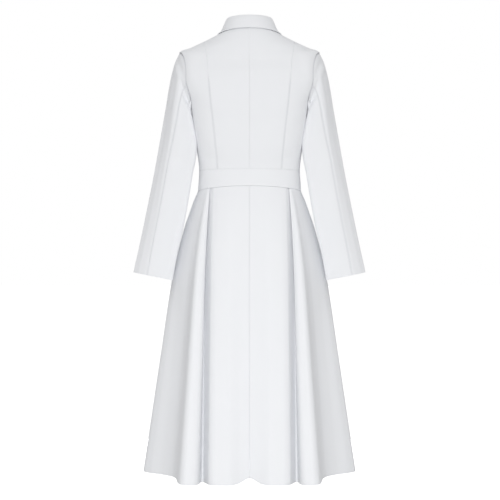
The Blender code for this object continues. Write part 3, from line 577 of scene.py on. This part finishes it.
# The folds from the centre to the side seam: the angle and the layers down at the waist,
# and the place at the hem (hem_x, hem_y)
BACK_FOLDS = {
    "centre": (0.0, 0.0, 0.0000, 0.1960),
    "centre hollow": (8.0, 0.0, 0.0230, 0.2090),
    "centre lobe": (20.0, 0.0, 0.0550, 0.2240),
    "panel edge": (31.0, 0.0, 0.0850, 0.2230),
    "edge turns in": (38.0, 0.1, 0.1015, 0.2130),
    "underlay": (43.5, 1.35, 0.1085, 0.1950),
    "deep underlay": (50.0, 2.0, 0.1150, 0.1760),
    "inner fold before": (56.0, 2.0, 0.1178, 0.1700),
    "inner fold": (57.1, 1.5, 0.1203, 0.1680),
    "inner fold after": (56.0, 1.0, 0.1229, 0.1700),
    "return": (51.0, 1.0, 0.1262, 0.1860),
    "outer fold before": (47.2, 1.0, 0.1282, 0.2040),
    "outer fold": (46.2, 0.5, 0.1300, 0.2100),
    "outer fold after": (47.2, 0.0, 0.1328, 0.2170),
    "flute start": (47.8, 0.0, 0.1425, 0.2255),
    "flute crest": (48.5, 0.0, 0.1600, 0.2290),
    "flute shoulder": (49.4, 0.0, 0.1745, 0.2190),
    "flute side": (50.8, 0.0, 0.1825, 0.1880),
    "valley side": (54.0, 0.0, 0.1872, 0.1430),
    "valley": (62.0, 0.0, 0.1965, 0.1030),
    "side panel": (74.0, 0.0, 0.2290, 0.0590),
    "side round": (84.0, 0.0, 0.2640, 0.0300),
    "side turns": (88.8, 0.0, 0.2795, 0.0110),
    "side seam": (90.0, 0.0, 0.2825, 0.0000),
}
FRONT_HEM = {               # where the front's hem differs from the back's
    "centre": (0.0000, 0.2190),
    "centre hollow": (0.0240, 0.2200),
    "centre lobe": (0.0550, 0.2215),
    "panel edge": (0.0840, 0.2190),
    "flute crest": (0.1590, 0.2240),
    "valley side": (0.1900, 0.1440),
    "valley": (0.2000, 0.1050),
}
SKIRT_COLUMN = 0.0032       # from one column of the grid to the next, at the hem
FOLD_STEPS = 40             # steps from one fold to the next, to measure the hem by
FOLD_EXTRA = 0.018          # counted onto the hem at each fold, for closer columns there


def skirt_lines(front):
    """The waist line and the hem line of a panel, from its centre to the side seam.

    Both are smooth curves through the folds' own places. Their points lie evenly along
    the hem, and closer at the folds, where the two curves turn most.
    """
    rows = [(angle, layers) + (FRONT_HEM.get(name, (x, y)) if front else (x, y))
            for name, (angle, layers, x, y) in BACK_FOLDS.items()]
    folds = np.array(rows)
    at = np.arange(len(folds), dtype=float)
    fine = np.linspace(0.0, len(folds) - 1.0, FOLD_STEPS * (len(folds) - 1) + 1)
    hem = through(at, folds[:, 2:], fine)
    steps = np.linalg.norm(np.diff(hem, axis=0), axis=1) + FOLD_EXTRA / FOLD_STEPS
    run = np.insert(np.cumsum(steps), 0, 0.0)
    places = np.interp(np.linspace(0.0, run[-1], int(run[-1] / SKIRT_COLUMN)), run, fine)
    angle, layers, hem_x, hem_y = through(at, folds, places).T
    if front:
        over = np.linspace(1.0, 0.0, 7)[:-1]
        angle = np.concatenate([-over * angle_at(OVERLAP, WAIST_SEAM, True), angle])
        layers = np.concatenate([0 * over, layers])
        hem_x = np.concatenate([-over * OVERLAP, hem_x])
        hem_y = np.concatenate([hem_y[0] + 0 * over, hem_y])
        angle, hem_y = 180.0 - angle, -hem_y
    point = torso(angle, np.full_like(angle, WAIST_SEAM))
    along = torso(angle + 0.05, np.zeros_like(angle)) - torso(angle - 0.05, np.zeros_like(angle))
    out = unit(np.stack([-along[:, 1], along[:, 0], np.zeros_like(angle)], axis=-1))
    return point - out * (layers * LAYER)[:, None], np.stack([hem_x, hem_y], axis=-1)


def skirt_grid(front, on_right, rows=120):
    """A panel: every column runs from its place on the waist to its place on the hem.

    Its share of the way at a height is the flare, the same for all columns.
    """
    waist, hem = skirt_lines(front)
    down = np.linspace(1.0, 0.0, rows)[:, None] ** 1.15
    spread = through(*np.transpose(FLARE), down)
    plan = (1 - spread[..., None]) * waist[None, :, :2] + spread[..., None] * hem[None]
    bottom = HEM_Z + SIDE_RISE * smooth(SIDE_FROM, SIDE_TO, hem[:, 0])
    if not front:
        bottom = bottom + NOTCH * np.exp(-((hem[:, 0] / NOTCH_WIDTH) ** 2))
    top = waist[None, :, 2] - WAIST_GAP
    points = np.concatenate([plan, (top + down * (bottom[None] - top))[..., None]], axis=-1)
    if front:
        points = points[:, ::-1]
    if on_right:
        points = points * (-1, 1, 1)
        if front:
            points = lifted(points, np.zeros_like(points) + (0.0, -1.0, 0.0))
    normals = unit(np.cross(np.gradient(points, axis=0), np.gradient(points, axis=1)))
    normals = -normals if on_right else normals
    centre, flank = (-1, 0) if front else (0, -1)
    normals[:, centre] = unit(normals[:, centre] * (0, 1, 1))
    normals[:, flank] = unit(normals[:, flank] * (1, 0, 1))
    return points + normals * (SOLID_WALL / 2), normals


for side, on_right in (("left", False), ("right", True)):
    for place, front in (("back", False), ("front", True)):
        points, normals = skirt_grid(front, on_right)
        kinds = ("hem", "faint seam", "seam", "edge" if front else "seam")
        lay(f"skirt_{place}_{side}_cloth", points, normals, kinds, on_right=on_right)


# Sleeves
# Each is cut in two, a top sleeve and an under sleeve, with one seam down the back of the
# arm and one under it. The head is eased into the armhole, and the wrist has a turned hem.

# Rings from the head to the wrist: how far along the sleeve, the inner point and the outer
# point (x_in, z_in, x_out, z_out), half the depth, and how far behind the middle
SLEEVE = (
    (0.045, 0.1585, -0.2020, 0.1978, -0.0800, 0.0610, 0.002),
    (0.11, 0.1585, -0.2100, 0.2106, -0.1300, 0.0620, 0.003),
    (0.20, 0.1565, -0.2300, 0.2232, -0.2050, 0.0595, 0.006),
    (0.265, 0.1520, -0.2620, 0.2301, -0.2450, 0.0560, 0.008),
    (0.33, 0.1462, -0.2990, 0.2374, -0.2860, 0.0530, 0.009),
    (0.48, 0.1590, -0.3880, 0.2541, -0.3800, 0.0475, 0.012),
    (0.66, 0.1792, -0.5050, 0.2765, -0.4950, 0.0415, 0.017),
    (0.82, 0.1968, -0.5850, 0.2924, -0.5720, 0.0370, 0.021),
    (1.00, 0.2106, -0.6572, 0.3072, -0.6384, 0.0330, 0.025),
)
HEAD_PAST, HEAD_PAST_UNDER = 0.0014, 0.0010     # how far the head is set into the armhole
HEAD_OFF_UNDER = 0.0024     # how far it stands out from the bodice under the arm
# How far out a ring reaches, by degrees from its outer side to the back: 1 is a plain oval
SLEEVE_ROUND = ((-180.0, 1.0), (-165.0, 1.03), (-148.0, 1.12), (-130.0, 1.12), (-110.0, 1.05), (-90.0, 1.0),
                (-60.0, 0.965), (-30.0, 0.95), (0.0, 1.0), (25.0, 0.905), (48.0, 0.905), (72.0, 0.98),
                (92.0, 1.01), (112.0, 1.065), (131.0, 1.17), (146.0, 1.365), (158.0, 1.15), (170.0, 1.035),
                (180.0, 1.0))
# The seams' degrees round a ring, by how far along the sleeve
BACK_SLEEVE_SEAM = ((0.0, 108.0), (0.20, 93.0), (0.40, 73.0), (0.66, 73.0), (1.0, 77.0))
FRONT_SLEEVE_SEAM = ((0.0, -112.0), (0.30, -118.0), (1.0, -112.0))
# Soft creases, in the same columns as the bodice's
SLEEVE_BACK_CREASES = (
    (0.150, -0.150, 0.141, -0.420, 0.0060, 0.0016),
    (0.193, -0.070, 0.172, -0.130, 0.0050, -0.0034),
    (0.200, -0.078, 0.184, -0.140, 0.0055, 0.0022),
    (0.178, -0.120, 0.164, -0.165, 0.0050, 0.0018),
    (0.178, -0.168, 0.156, -0.196, 0.0050, -0.0030),
    (0.172, -0.190, 0.156, -0.222, 0.0060, 0.0022),
    (0.176, -0.120, 0.252, -0.500, 0.0045, 0.0011),
    (0.190, -0.090, 0.266, -0.470, 0.0080, -0.0022),
    (0.215, -0.330, 0.165, -0.352, 0.0120, -0.0012),
    (0.235, -0.360, 0.180, -0.330, 0.0110, 0.0008),
    (0.225, -0.430, 0.172, -0.400, 0.0130, -0.0010),
)
SLEEVE_FRONT_CREASES = (
    (0.190, -0.090, 0.172, -0.140, 0.0060, -0.0018),
    (0.200, -0.100, 0.186, -0.150, 0.0070, 0.0012),
    (0.175, -0.330, 0.235, -0.372, 0.0100, -0.0024),
    (0.165, -0.352, 0.228, -0.398, 0.0090, 0.0016),
    (0.170, -0.385, 0.232, -0.412, 0.0100, -0.0018),
    (0.195, -0.470, 0.260, -0.500, 0.0120, -0.0012),
)


def sleeve_rings(round_it):
    """Points of each ring at degrees from the outer side towards the back.

    The first ring follows the armhole on the bodice, set into the hole and, under the arm,
    out from the cloth. The others are ovals between an outer and an inner point, made
    fuller or flatter by SLEEVE_ROUND.
    """
    turn = np.radians(round_it)
    under = (1 - np.cos(turn)) / 2
    angle, ring = armhole(np.abs(np.sin(turn)), np.sin(turn) < 0), CHEST + np.cos(turn)
    into_hole = unit(torso(90.0, CHEST) - torso(angle, ring))
    past = HEAD_PAST + (HEAD_PAST_UNDER - HEAD_PAST) * under
    off = HEAD_OFF_UNDER * smooth(0.25, 0.95, under)
    rings = [torso(angle, ring) + into_hole * past[:, None] + torso_normal(angle, ring) * off[:, None]]
    reach = through(*np.transpose(SLEEVE_ROUND), (np.asarray(round_it) + 180.0) % 360.0 - 180.0)
    inward, deep = (1 - reach * np.cos(turn)) / 2, reach * np.sin(turn)
    for _, x_in, z_in, x_out, z_out, depth, y in SLEEVE:
        rings.append(np.stack([x_out + (x_in - x_out) * inward, y + depth * deep,
                               z_out + (z_in - z_out) * inward], axis=-1))
    return np.array(rings)


def sleeve_grid(start, end, columns, rows=120):
    """Half of a sleeve, between two seams, from the wrist up.

    Every column is a smooth curve through the rings, and every row runs evenly from one
    seam to the other.
    """
    stations = np.concatenate([[0.0], [row[0] for row in SLEEVE]])
    grid = []
    for at in np.linspace(1.0, 0.0, rows) ** 1.25:
        first, last = through(*np.transpose(start), at), through(*np.transpose(end), at)
        last = last + 360.0 if last < first else last
        grid.append(through(stations, sleeve_rings(np.linspace(last, first, columns)), np.full(1, at))[0])
    points = np.array(grid)
    normals = unit(np.cross(np.gradient(points, axis=0), np.gradient(points, axis=1)))
    return points + normals * (SOLID_WALL / 2), normals


for side, on_right in (("left", False), ("right", True)):
    for name, start, end, columns, seams in (
        (f"sleeve_top_{side}", FRONT_SLEEVE_SEAM, BACK_SLEEVE_SEAM, 84, ("soft seam", "seam")),
        (f"sleeve_under_{side}", BACK_SLEEVE_SEAM, FRONT_SLEEVE_SEAM, 64, ("seam", "soft seam")),
    ):
        points, normals = sleeve_grid(start, end, columns)
        points = creased(points, normals, SLEEVE_BACK_CREASES, 1)
        points = creased(points, normals, SLEEVE_FRONT_CREASES, -1)
        if on_right:
            points, normals = mirrored(points, normals, False)
        lay(f"{name}_cloth", points, normals, ("hem", "armhole", *seams), on_right=on_right)


# Collar
# One band of doubled crepe with interfacing. It stands up from the neck seam, rolls over
# and falls outside, over the bodice, to rounded ends at the front.

COLLAR_WALL = 0.0020        # the solid's wall, and the sheet's thickness
# The line it rolls over on, an oval round the neck: half width and depths, and its heights
ROLL = {"width": 0.0572, "back": 0.0555, "front": 0.0690, "z_side": 0.0380, "z_back": 0.0393,
        "z_front": -0.0330}
ROLL_RADIUS = 0.0026        # how round it is there
COLLAR_END = 176.0          # degrees from the centre back to the collar's front end
STAND_UP = 0.0019           # the stand's foot over the neck seam
# The edge of the fall, by degrees round the neck: the bodice ring it lies over, the angle
# there, and how far it stands off the cloth
FALL = (
    (0.0, 8.84, 0.0, 0.0042),
    (45.0, 8.82, 46.0, 0.0034),
    (90.0, 8.72, 90.0, 0.0030),
    (125.0, 8.20, 122.0, 0.0048),
    (155.0, 6.90, 146.0, 0.0070),
    (176.0, 5.95, 160.0, 0.0070),
)
# Down the fall: the share of the way to its edge, and of the roll's place that is mixed in
FALL_ROWS = ((0.0, 0.62), (0.18, 0.30), (0.5, 0.0), (1.0, 0.0))
FALL_LEAN = 0.0022          # how far out the top of the fall leans
NECK_BACK = 0.004           # how far behind the origin the neck's middle is


def collar_grid(columns=181, rows=64):
    """The band: at each place round the neck, a smooth curve from foot to roll to edge.

    The fall's part of the curve is a place on the bodice's surface and a distance off it.
    """
    angle = np.linspace(-COLLAR_END, COLLAR_END, columns)
    side = np.abs(angle)
    mirror = np.stack([np.where(angle < 0, -1.0, 1.0), np.ones(columns), np.ones(columns)], -1)
    foot = torso(side, np.full(columns, NECK)) + (0.0, 0.0, STAND_UP)
    turn = np.radians(side)
    cosine = np.cos(turn)
    depth = np.where(cosine > 0, ROLL["back"], ROLL["front"])
    centre = np.where(cosine > 0, ROLL["z_back"], ROLL["z_front"])
    top = np.stack([ROLL["width"] * np.sin(turn), depth * cosine,
                    ROLL["z_side"] + (centre - ROLL["z_side"]) * cosine ** 2], axis=-1)
    fall = np.array(FALL)
    fall_ring, fall_angle, off = through(fall[:, 0], fall[:, 1:], side).T
    outward = unit((foot - (0, NECK_BACK, 0)) * (1, 1, 0))
    low = top + outward * ROLL_RADIUS - (0, 0, ROLL_RADIUS * 0.6)
    spots = [foot, foot * 0.5 + (top - outward * ROLL_RADIUS) * 0.5,
             top - outward * ROLL_RADIUS - (0, 0, ROLL_RADIUS), top, low]
    for share, rise in FALL_ROWS:
        at_ring, at_angle = NECK + (fall_ring - NECK) * share, side + (fall_angle - side) * share
        spot = torso(at_angle, at_ring) + torso_normal(at_angle, at_ring) * off[:, None]
        spots.append(spot * (1 - rise) + low * rise + outward * (FALL_LEAN * (1 - share)))
    spots = np.array(spots) * mirror
    points = through(np.arange(len(spots)), spots, np.linspace(len(spots) - 1.0, 0.0, rows))
    normals = unit(np.cross(np.gradient(points, axis=0), np.gradient(points, axis=1)))
    return points + normals * (COLLAR_WALL / 2), normals


points, normals = collar_grid()
collar = lay("collar_cloth", points, normals, ("raw", "raw", "raw", "raw"), thick=COLLAR_WALL)
rim = collar.modifiers.new("rolled edge", "BEVEL")
rim.width = 0.0008
rim.segments = 3
rim.limit_method = "ANGLE"
rim.angle_limit = np.radians(50.0)


# Buttons
# Ten round buttons of pale moulded resin down the right front, each with a raised rim, a
# dished face and four holes. Crossed thread sews them on, and each has a worked buttonhole,
# whose end shows beside it.

BUTTON_SIDES = 64
# From the flat middle of the face over the rim to the back: how far out, and how high
BUTTON_PROFILE = ((0.0060, 0.0022), (0.0068, 0.00225), (0.0075, 0.0025), (0.0081, 0.0029), (0.0086, 0.0031),
                  (0.0091, 0.0032), (0.0096, 0.0030), (0.0099, 0.0025), (0.0100, 0.0018), (0.0098, 0.0010),
                  (0.0092, 0.0004), (0.0082, 0.0), (0.0060, 0.0))
HOLE_RADIUS, HOLE_AWAY, HOLE_SIDES = 0.0010, 0.0023, 20
STRAND_RADIUS, STRAND_APART = 0.00024, 0.00042
STRAND_RISE, STRAND_CROSSING = 0.00045, 0.0004  # over the face, and over the strands below
STRAND_END = 1.12           # how far a strand runs, in steps to a hole's middle
STRAND_DOWN = 0.0016        # how far its ends go down into the holes
BUTTONHOLE = {"start": 0.0020, "end": -0.0210, "half_width": 0.00115, "bead": 0.00095, "flat": 0.6}
CLOTH_UNDER = 0.0004        # from a button's back down to the cloth
CLOTH_BENDS = 0.9           # how fast the cloth curves back beside a button, in 1/m

BUTTON_LIGHT = (0.87, 0.87, 0.86, 1.0)
BUTTON_CLOUD = (0.80, 0.80, 0.79, 1.0)
THREAD = (0.84, 0.84, 0.85, 1.0)

resin, tree, face = new_finish("pale resin")
place = add(tree, "ShaderNodeTexCoord")
cloud = add(tree, "ShaderNodeTexNoise", {"Vector": place.outputs["Object"], "Scale": 160.0, "Detail": 3.0,
                                         "Distortion": 1.2})
colour = add(tree, "ShaderNodeMix", {"Factor": cloud.outputs[0], "A": BUTTON_CLOUD, "B": BUTTON_LIGHT},
             data_type="RGBA")
plug(tree, face, {"Base Color": colour.outputs["Result"], "Roughness": 0.25, "Coat Weight": 0.3})

thread, tree, face = new_finish("white thread")
cut = add(tree, "ShaderNodeUVMap", uv_map="cut")
twist = add(tree, "ShaderNodeTexWave", {"Vector": cut.outputs[0], "Scale": 320.0, "Distortion": 0.6})
relief = add(tree, "ShaderNodeBump", {"Height": twist.outputs["Fac"], "Distance": 0.00015, "Strength": 0.8})
plug(tree, face, {"Base Color": THREAD, "Normal": relief.outputs[0], "Roughness": 0.7,
                  "Specular IOR Level": 0.3})


def button_shape():
    """A button about the z axis, from its back at 0: its points and its faces.

    The profile is turned round the axis. The flat middles of the face and the back are
    filled with triangles round the four holes, whose walls join the two.
    """
    turn = np.linspace(0.0, 2 * np.pi, BUTTON_SIDES, endpoint=False)
    out, high = np.transpose(BUTTON_PROFILE)
    turned = np.stack([out[:, None] * np.cos(turn), out[:, None] * np.sin(turn),
                       high[:, None] + 0 * turn], -1)
    hole = np.linspace(0.0, 2 * np.pi, HOLE_SIDES, endpoint=False)
    middles = HOLE_AWAY * np.array([(1, 1), (-1, 1), (-1, -1), (1, -1)]) / np.sqrt(2)
    rings = middles[:, None] + HOLE_RADIUS * np.stack([np.cos(hole), np.sin(hole)], -1)
    flat = np.concatenate([turned[0, :, :2], rings.reshape(-1, 2)])
    loops = [np.arange(BUTTON_SIDES)]
    loops += [BUTTON_SIDES + HOLE_SIDES * i + np.arange(HOLE_SIDES) for i in range(len(middles))]
    edges = np.concatenate([np.stack([loop, np.roll(loop, -1)], -1) for loop in loops])
    points, _, faces, source, _, _ = delaunay_2d_cdt(flat.tolist(), edges.tolist(), [], 1, 1e-7)
    filled = np.array([source[i][0] for i in range(len(points))])[np.array(faces)]
    centre = flat[filled].mean(axis=1)
    solid = np.linalg.norm(centre[:, None] - middles[None], axis=-1).min(axis=1) > 0.96 * HOLE_RADIUS
    filled = filled[solid]
    count = len(flat)
    top = np.column_stack([flat, np.full(count, high[0])])
    back = np.column_stack([flat, np.zeros(count)])
    rim = turned[1:-1].reshape(-1, 3)
    rows = [np.arange(BUTTON_SIDES)]
    rows += [2 * count + BUTTON_SIDES * i + np.arange(BUTTON_SIDES) for i in range(len(out) - 2)]
    rows += [count + np.arange(BUTTON_SIDES)]
    rows = np.array(rows)
    walls = np.concatenate([quads(rows)] + [quads(np.array([count + loop, loop])) for loop in loops[1:]])
    faces = np.concatenate([walls[:, [0, 1, 2]], walls[:, [0, 2, 3]], filled, filled[:, ::-1] + count])
    return np.concatenate([top, back, rim]), faces


def quads(rows):
    """Faces between rows of point numbers that run round in a ring."""
    after = np.roll(rows, -1, axis=1)
    return np.stack([rows[1:], after[1:], after[:-1], rows[:-1]], -1).reshape(-1, 4)


def tube(path, radius, up, closed, sides=8):
    """A round cord along a path: points, faces, and the lengths along and round it.

    Its cross-section is a circle across the path, and up gives one way across.
    """
    if closed:
        along = unit(np.roll(path, -1, axis=0) - np.roll(path, 1, axis=0))
    else:
        along = unit(np.gradient(path, axis=0))
    first = unit(np.cross(along, up))
    second = np.cross(first, along)
    turn = np.linspace(0.0, 2 * np.pi, sides, endpoint=False)[:, None]
    points = path[:, None] + radius * (first[:, None] * np.cos(turn) + second[:, None] * np.sin(turn))
    index = np.arange(len(path) * sides).reshape(len(path), sides)
    faces = quads(np.concatenate([index, index[:1]]) if closed else index)
    far = np.insert(np.cumsum(np.linalg.norm(np.diff(path, axis=0), axis=1)), 0, 0.0)
    laid = np.stack([np.repeat(far, sides), np.tile(turn[:, 0] * radius, len(path))], -1)
    return points.reshape(-1, 3), faces, laid


def strands():
    """The thread in a button's holes: three strands over each diagonal, down into the holes."""
    made = []
    face_height = BUTTON_PROFILE[0][1]
    share = np.linspace(-1.0, 1.0, 25)
    for layer, way in enumerate(((1, 1), (-1, 1))):
        way = np.array([*way, 0.0]) / np.sqrt(2)
        across = np.array([-way[1], way[0], 0.0])
        for beside in (-1, 0, 1):
            over = (STRAND_RISE + STRAND_CROSSING * layer) * (1 - share ** 2) ** 0.5
            down = STRAND_DOWN * smooth(0.80, 1.0, np.abs(share))
            path = way * (HOLE_AWAY * STRAND_END * share)[:, None] + across * (STRAND_APART * beside)
            path[:, 2] = face_height + over + STRAND_RADIUS - down
            made.append(tube(path, STRAND_RADIUS, (0.0, 0.0, 1.0), False))
    return made


def buttonhole():
    """The worked edge of a buttonhole as one closed bead, a long loop under the button."""
    turn = np.linspace(0.0, 2 * np.pi, 96, endpoint=False)
    half = (BUTTONHOLE["start"] - BUTTONHOLE["end"]) / 2
    middle = (BUTTONHOLE["start"] + BUTTONHOLE["end"]) / 2
    x = middle + half * np.sign(np.cos(turn)) * np.abs(np.cos(turn)) ** 0.45
    path = np.stack([x, BUTTONHOLE["half_width"] * np.sin(turn), -CLOTH_UNDER - CLOTH_BENDS * x ** 2], -1)
    points, faces, laid = tube(path, BUTTONHOLE["bead"], (0.0, 0.0, 1.0), True)
    middle_line = np.repeat(path, 8, axis=0)
    points[:, 2] = middle_line[:, 2] + (points[:, 2] - middle_line[:, 2]) * BUTTONHOLE["flat"]
    return [(points, faces, laid)]


def joined(name, parts, material):
    """One piece out of several parts, each given as points, faces and a map."""
    points, faces, maps, count = [], [], [], 0
    for part_points, part_faces, part_map in parts:
        points.append(part_points)
        faces += (part_faces + count).tolist()
        maps.append(part_map)
        count += len(part_points)
    return piece_of(name, np.concatenate(points), faces, np.concatenate(maps), material)


def seat_of(node):
    """Where a packed button's back is, and the ways across it, up it and out of it."""
    corners = np.empty(3 * len(node.data.vertices))
    node.data.vertices.foreach_get("co", corners)
    matrix = np.array(node.matrix_world)
    corners = corners.reshape(-1, 3) @ matrix[:3, :3].T + matrix[:3, 3]
    middle = (corners.min(axis=0) + corners.max(axis=0)) / 2
    out = np.linalg.svd(corners - corners.mean(axis=0))[2][2]
    out = out * -np.sign(out[1])
    middle = middle + out * ((corners - middle) @ out).min()
    across = unit(np.cross((0.0, 0.0, 1.0), -out))
    return middle, np.array([across, np.cross(out, across), out])


shape_points, shape_faces = button_shape()
all_threads, all_holes = [], []
for name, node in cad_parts.items():
    if name.startswith("button"):
        middle, ways = seat_of(node)
        shape = (middle + shape_points @ ways, shape_faces, shape_points[:, :2])
        turned_button = joined(f"{name}_turned", [shape], resin)
        turned_button.data.set_sharp_from_angle(angle=np.radians(40.0))
        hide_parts(name)
        all_threads += [(middle + points @ ways, faces, laid) for points, faces, laid in strands()]
        all_holes += [(middle + points @ ways, faces, laid) for points, faces, laid in buttonhole()]
joined("button_threads", all_threads, thread)
joined("buttonholes", all_holes, thread)


# Studio
# A pale seamless floor below the hanging dress, soft light from both long sides, and a
# camera square to the dress's back.

FLOOR_Z, FLOOR_REACH = -1.43, 30.0
FLOOR_BOUNCE, FLOOR_SEEN = 0.0, 0.75    # its glow on the dress, and to the camera
WORLD_FILL = 0.735          # the light from all round
PAPER = (0.55, 0.55, 0.55, 1.0)
WHITE = (1.0, 1.0, 1.0, 1.0)

floor_mesh = bpy.data.meshes.new("floor")
floor_corners = [(x * FLOOR_REACH, y * FLOOR_REACH, FLOOR_Z) for x, y in ((-1, -1), (1, -1), (1, 1), (-1, 1))]
floor_mesh.from_pydata(floor_corners, [], [(0, 1, 2, 3)])
in_scene("floor", floor_mesh)
paper, tree, face = new_finish("white paper floor")
seen = add(tree, "ShaderNodeLightPath")
glow = add(tree, "ShaderNodeMapRange", {"Value": seen.outputs["Is Camera Ray"], "To Min": FLOOR_BOUNCE,
                                        "To Max": FLOOR_SEEN})
plug(tree, face, {"Base Color": PAPER, "Roughness": 0.9, "Specular IOR Level": 0.0,
                  "Emission Color": WHITE, "Emission Strength": glow.outputs[0]})
floor_mesh.materials.append(paper)

world = bpy.data.worlds.new("studio")
bpy.context.scene.world = world
world.use_nodes = True
tree = world.node_tree
seen = add(tree, "ShaderNodeLightPath")
strength = add(tree, "ShaderNodeMapRange", {"Value": seen.outputs["Is Camera Ray"], "To Min": WORLD_FILL,
                                            "To Max": 1.0})
plug(tree, tree.nodes["Background"], {"Color": WHITE, "Strength": strength.outputs[0]})


DRESS_MIDDLE = Vector((0.0, 0.0, -0.6))


def soft_box(name, place, size, power):
    """A large area light that faces the dress's middle."""
    data = bpy.data.lights.new(name, "AREA")
    data.shape = "RECTANGLE"
    data.size, data.size_y = size
    data.energy = power
    light = in_scene(name, data)
    light.location = place
    light.rotation_euler = (DRESS_MIDDLE - Vector(place)).to_track_quat("-Z", "Y").to_euler()
    light.visible_camera = False


soft_box("light on the back", (0.0, 2.7, -1.05), (1.2, 1.0), 26.0)
soft_box("higher light on the back", (0.0, 3.2, 0.8), (1.6, 1.0), 5.0)
soft_box("light on the front", (0.0, -2.7, -1.05), (1.2, 1.0), 26.0)
soft_box("higher light on the front", (0.0, -3.2, 0.8), (1.6, 1.0), 5.0)

CAMERA_AWAY, CAMERA_ASIDE, CAMERA_HEIGHT = 3.85, -0.0013, -0.5794
PIXEL = 0.00267             # metres of the dress's middle plane in one pixel
IMAGE_WIDTH = 500
SENSOR = 36.0

camera_data = bpy.data.cameras.new("camera")
camera_data.sensor_width = SENSOR
camera_data.lens = SENSOR * CAMERA_AWAY / (IMAGE_WIDTH * PIXEL)
camera = in_scene("camera", camera_data)
camera.location = (CAMERA_ASIDE, CAMERA_AWAY, CAMERA_HEIGHT)
camera.rotation_euler = (np.pi / 2, 0.0, np.pi)
bpy.context.scene.camera = camera
bpy.context.scene.view_settings.view_transform = "Standard"
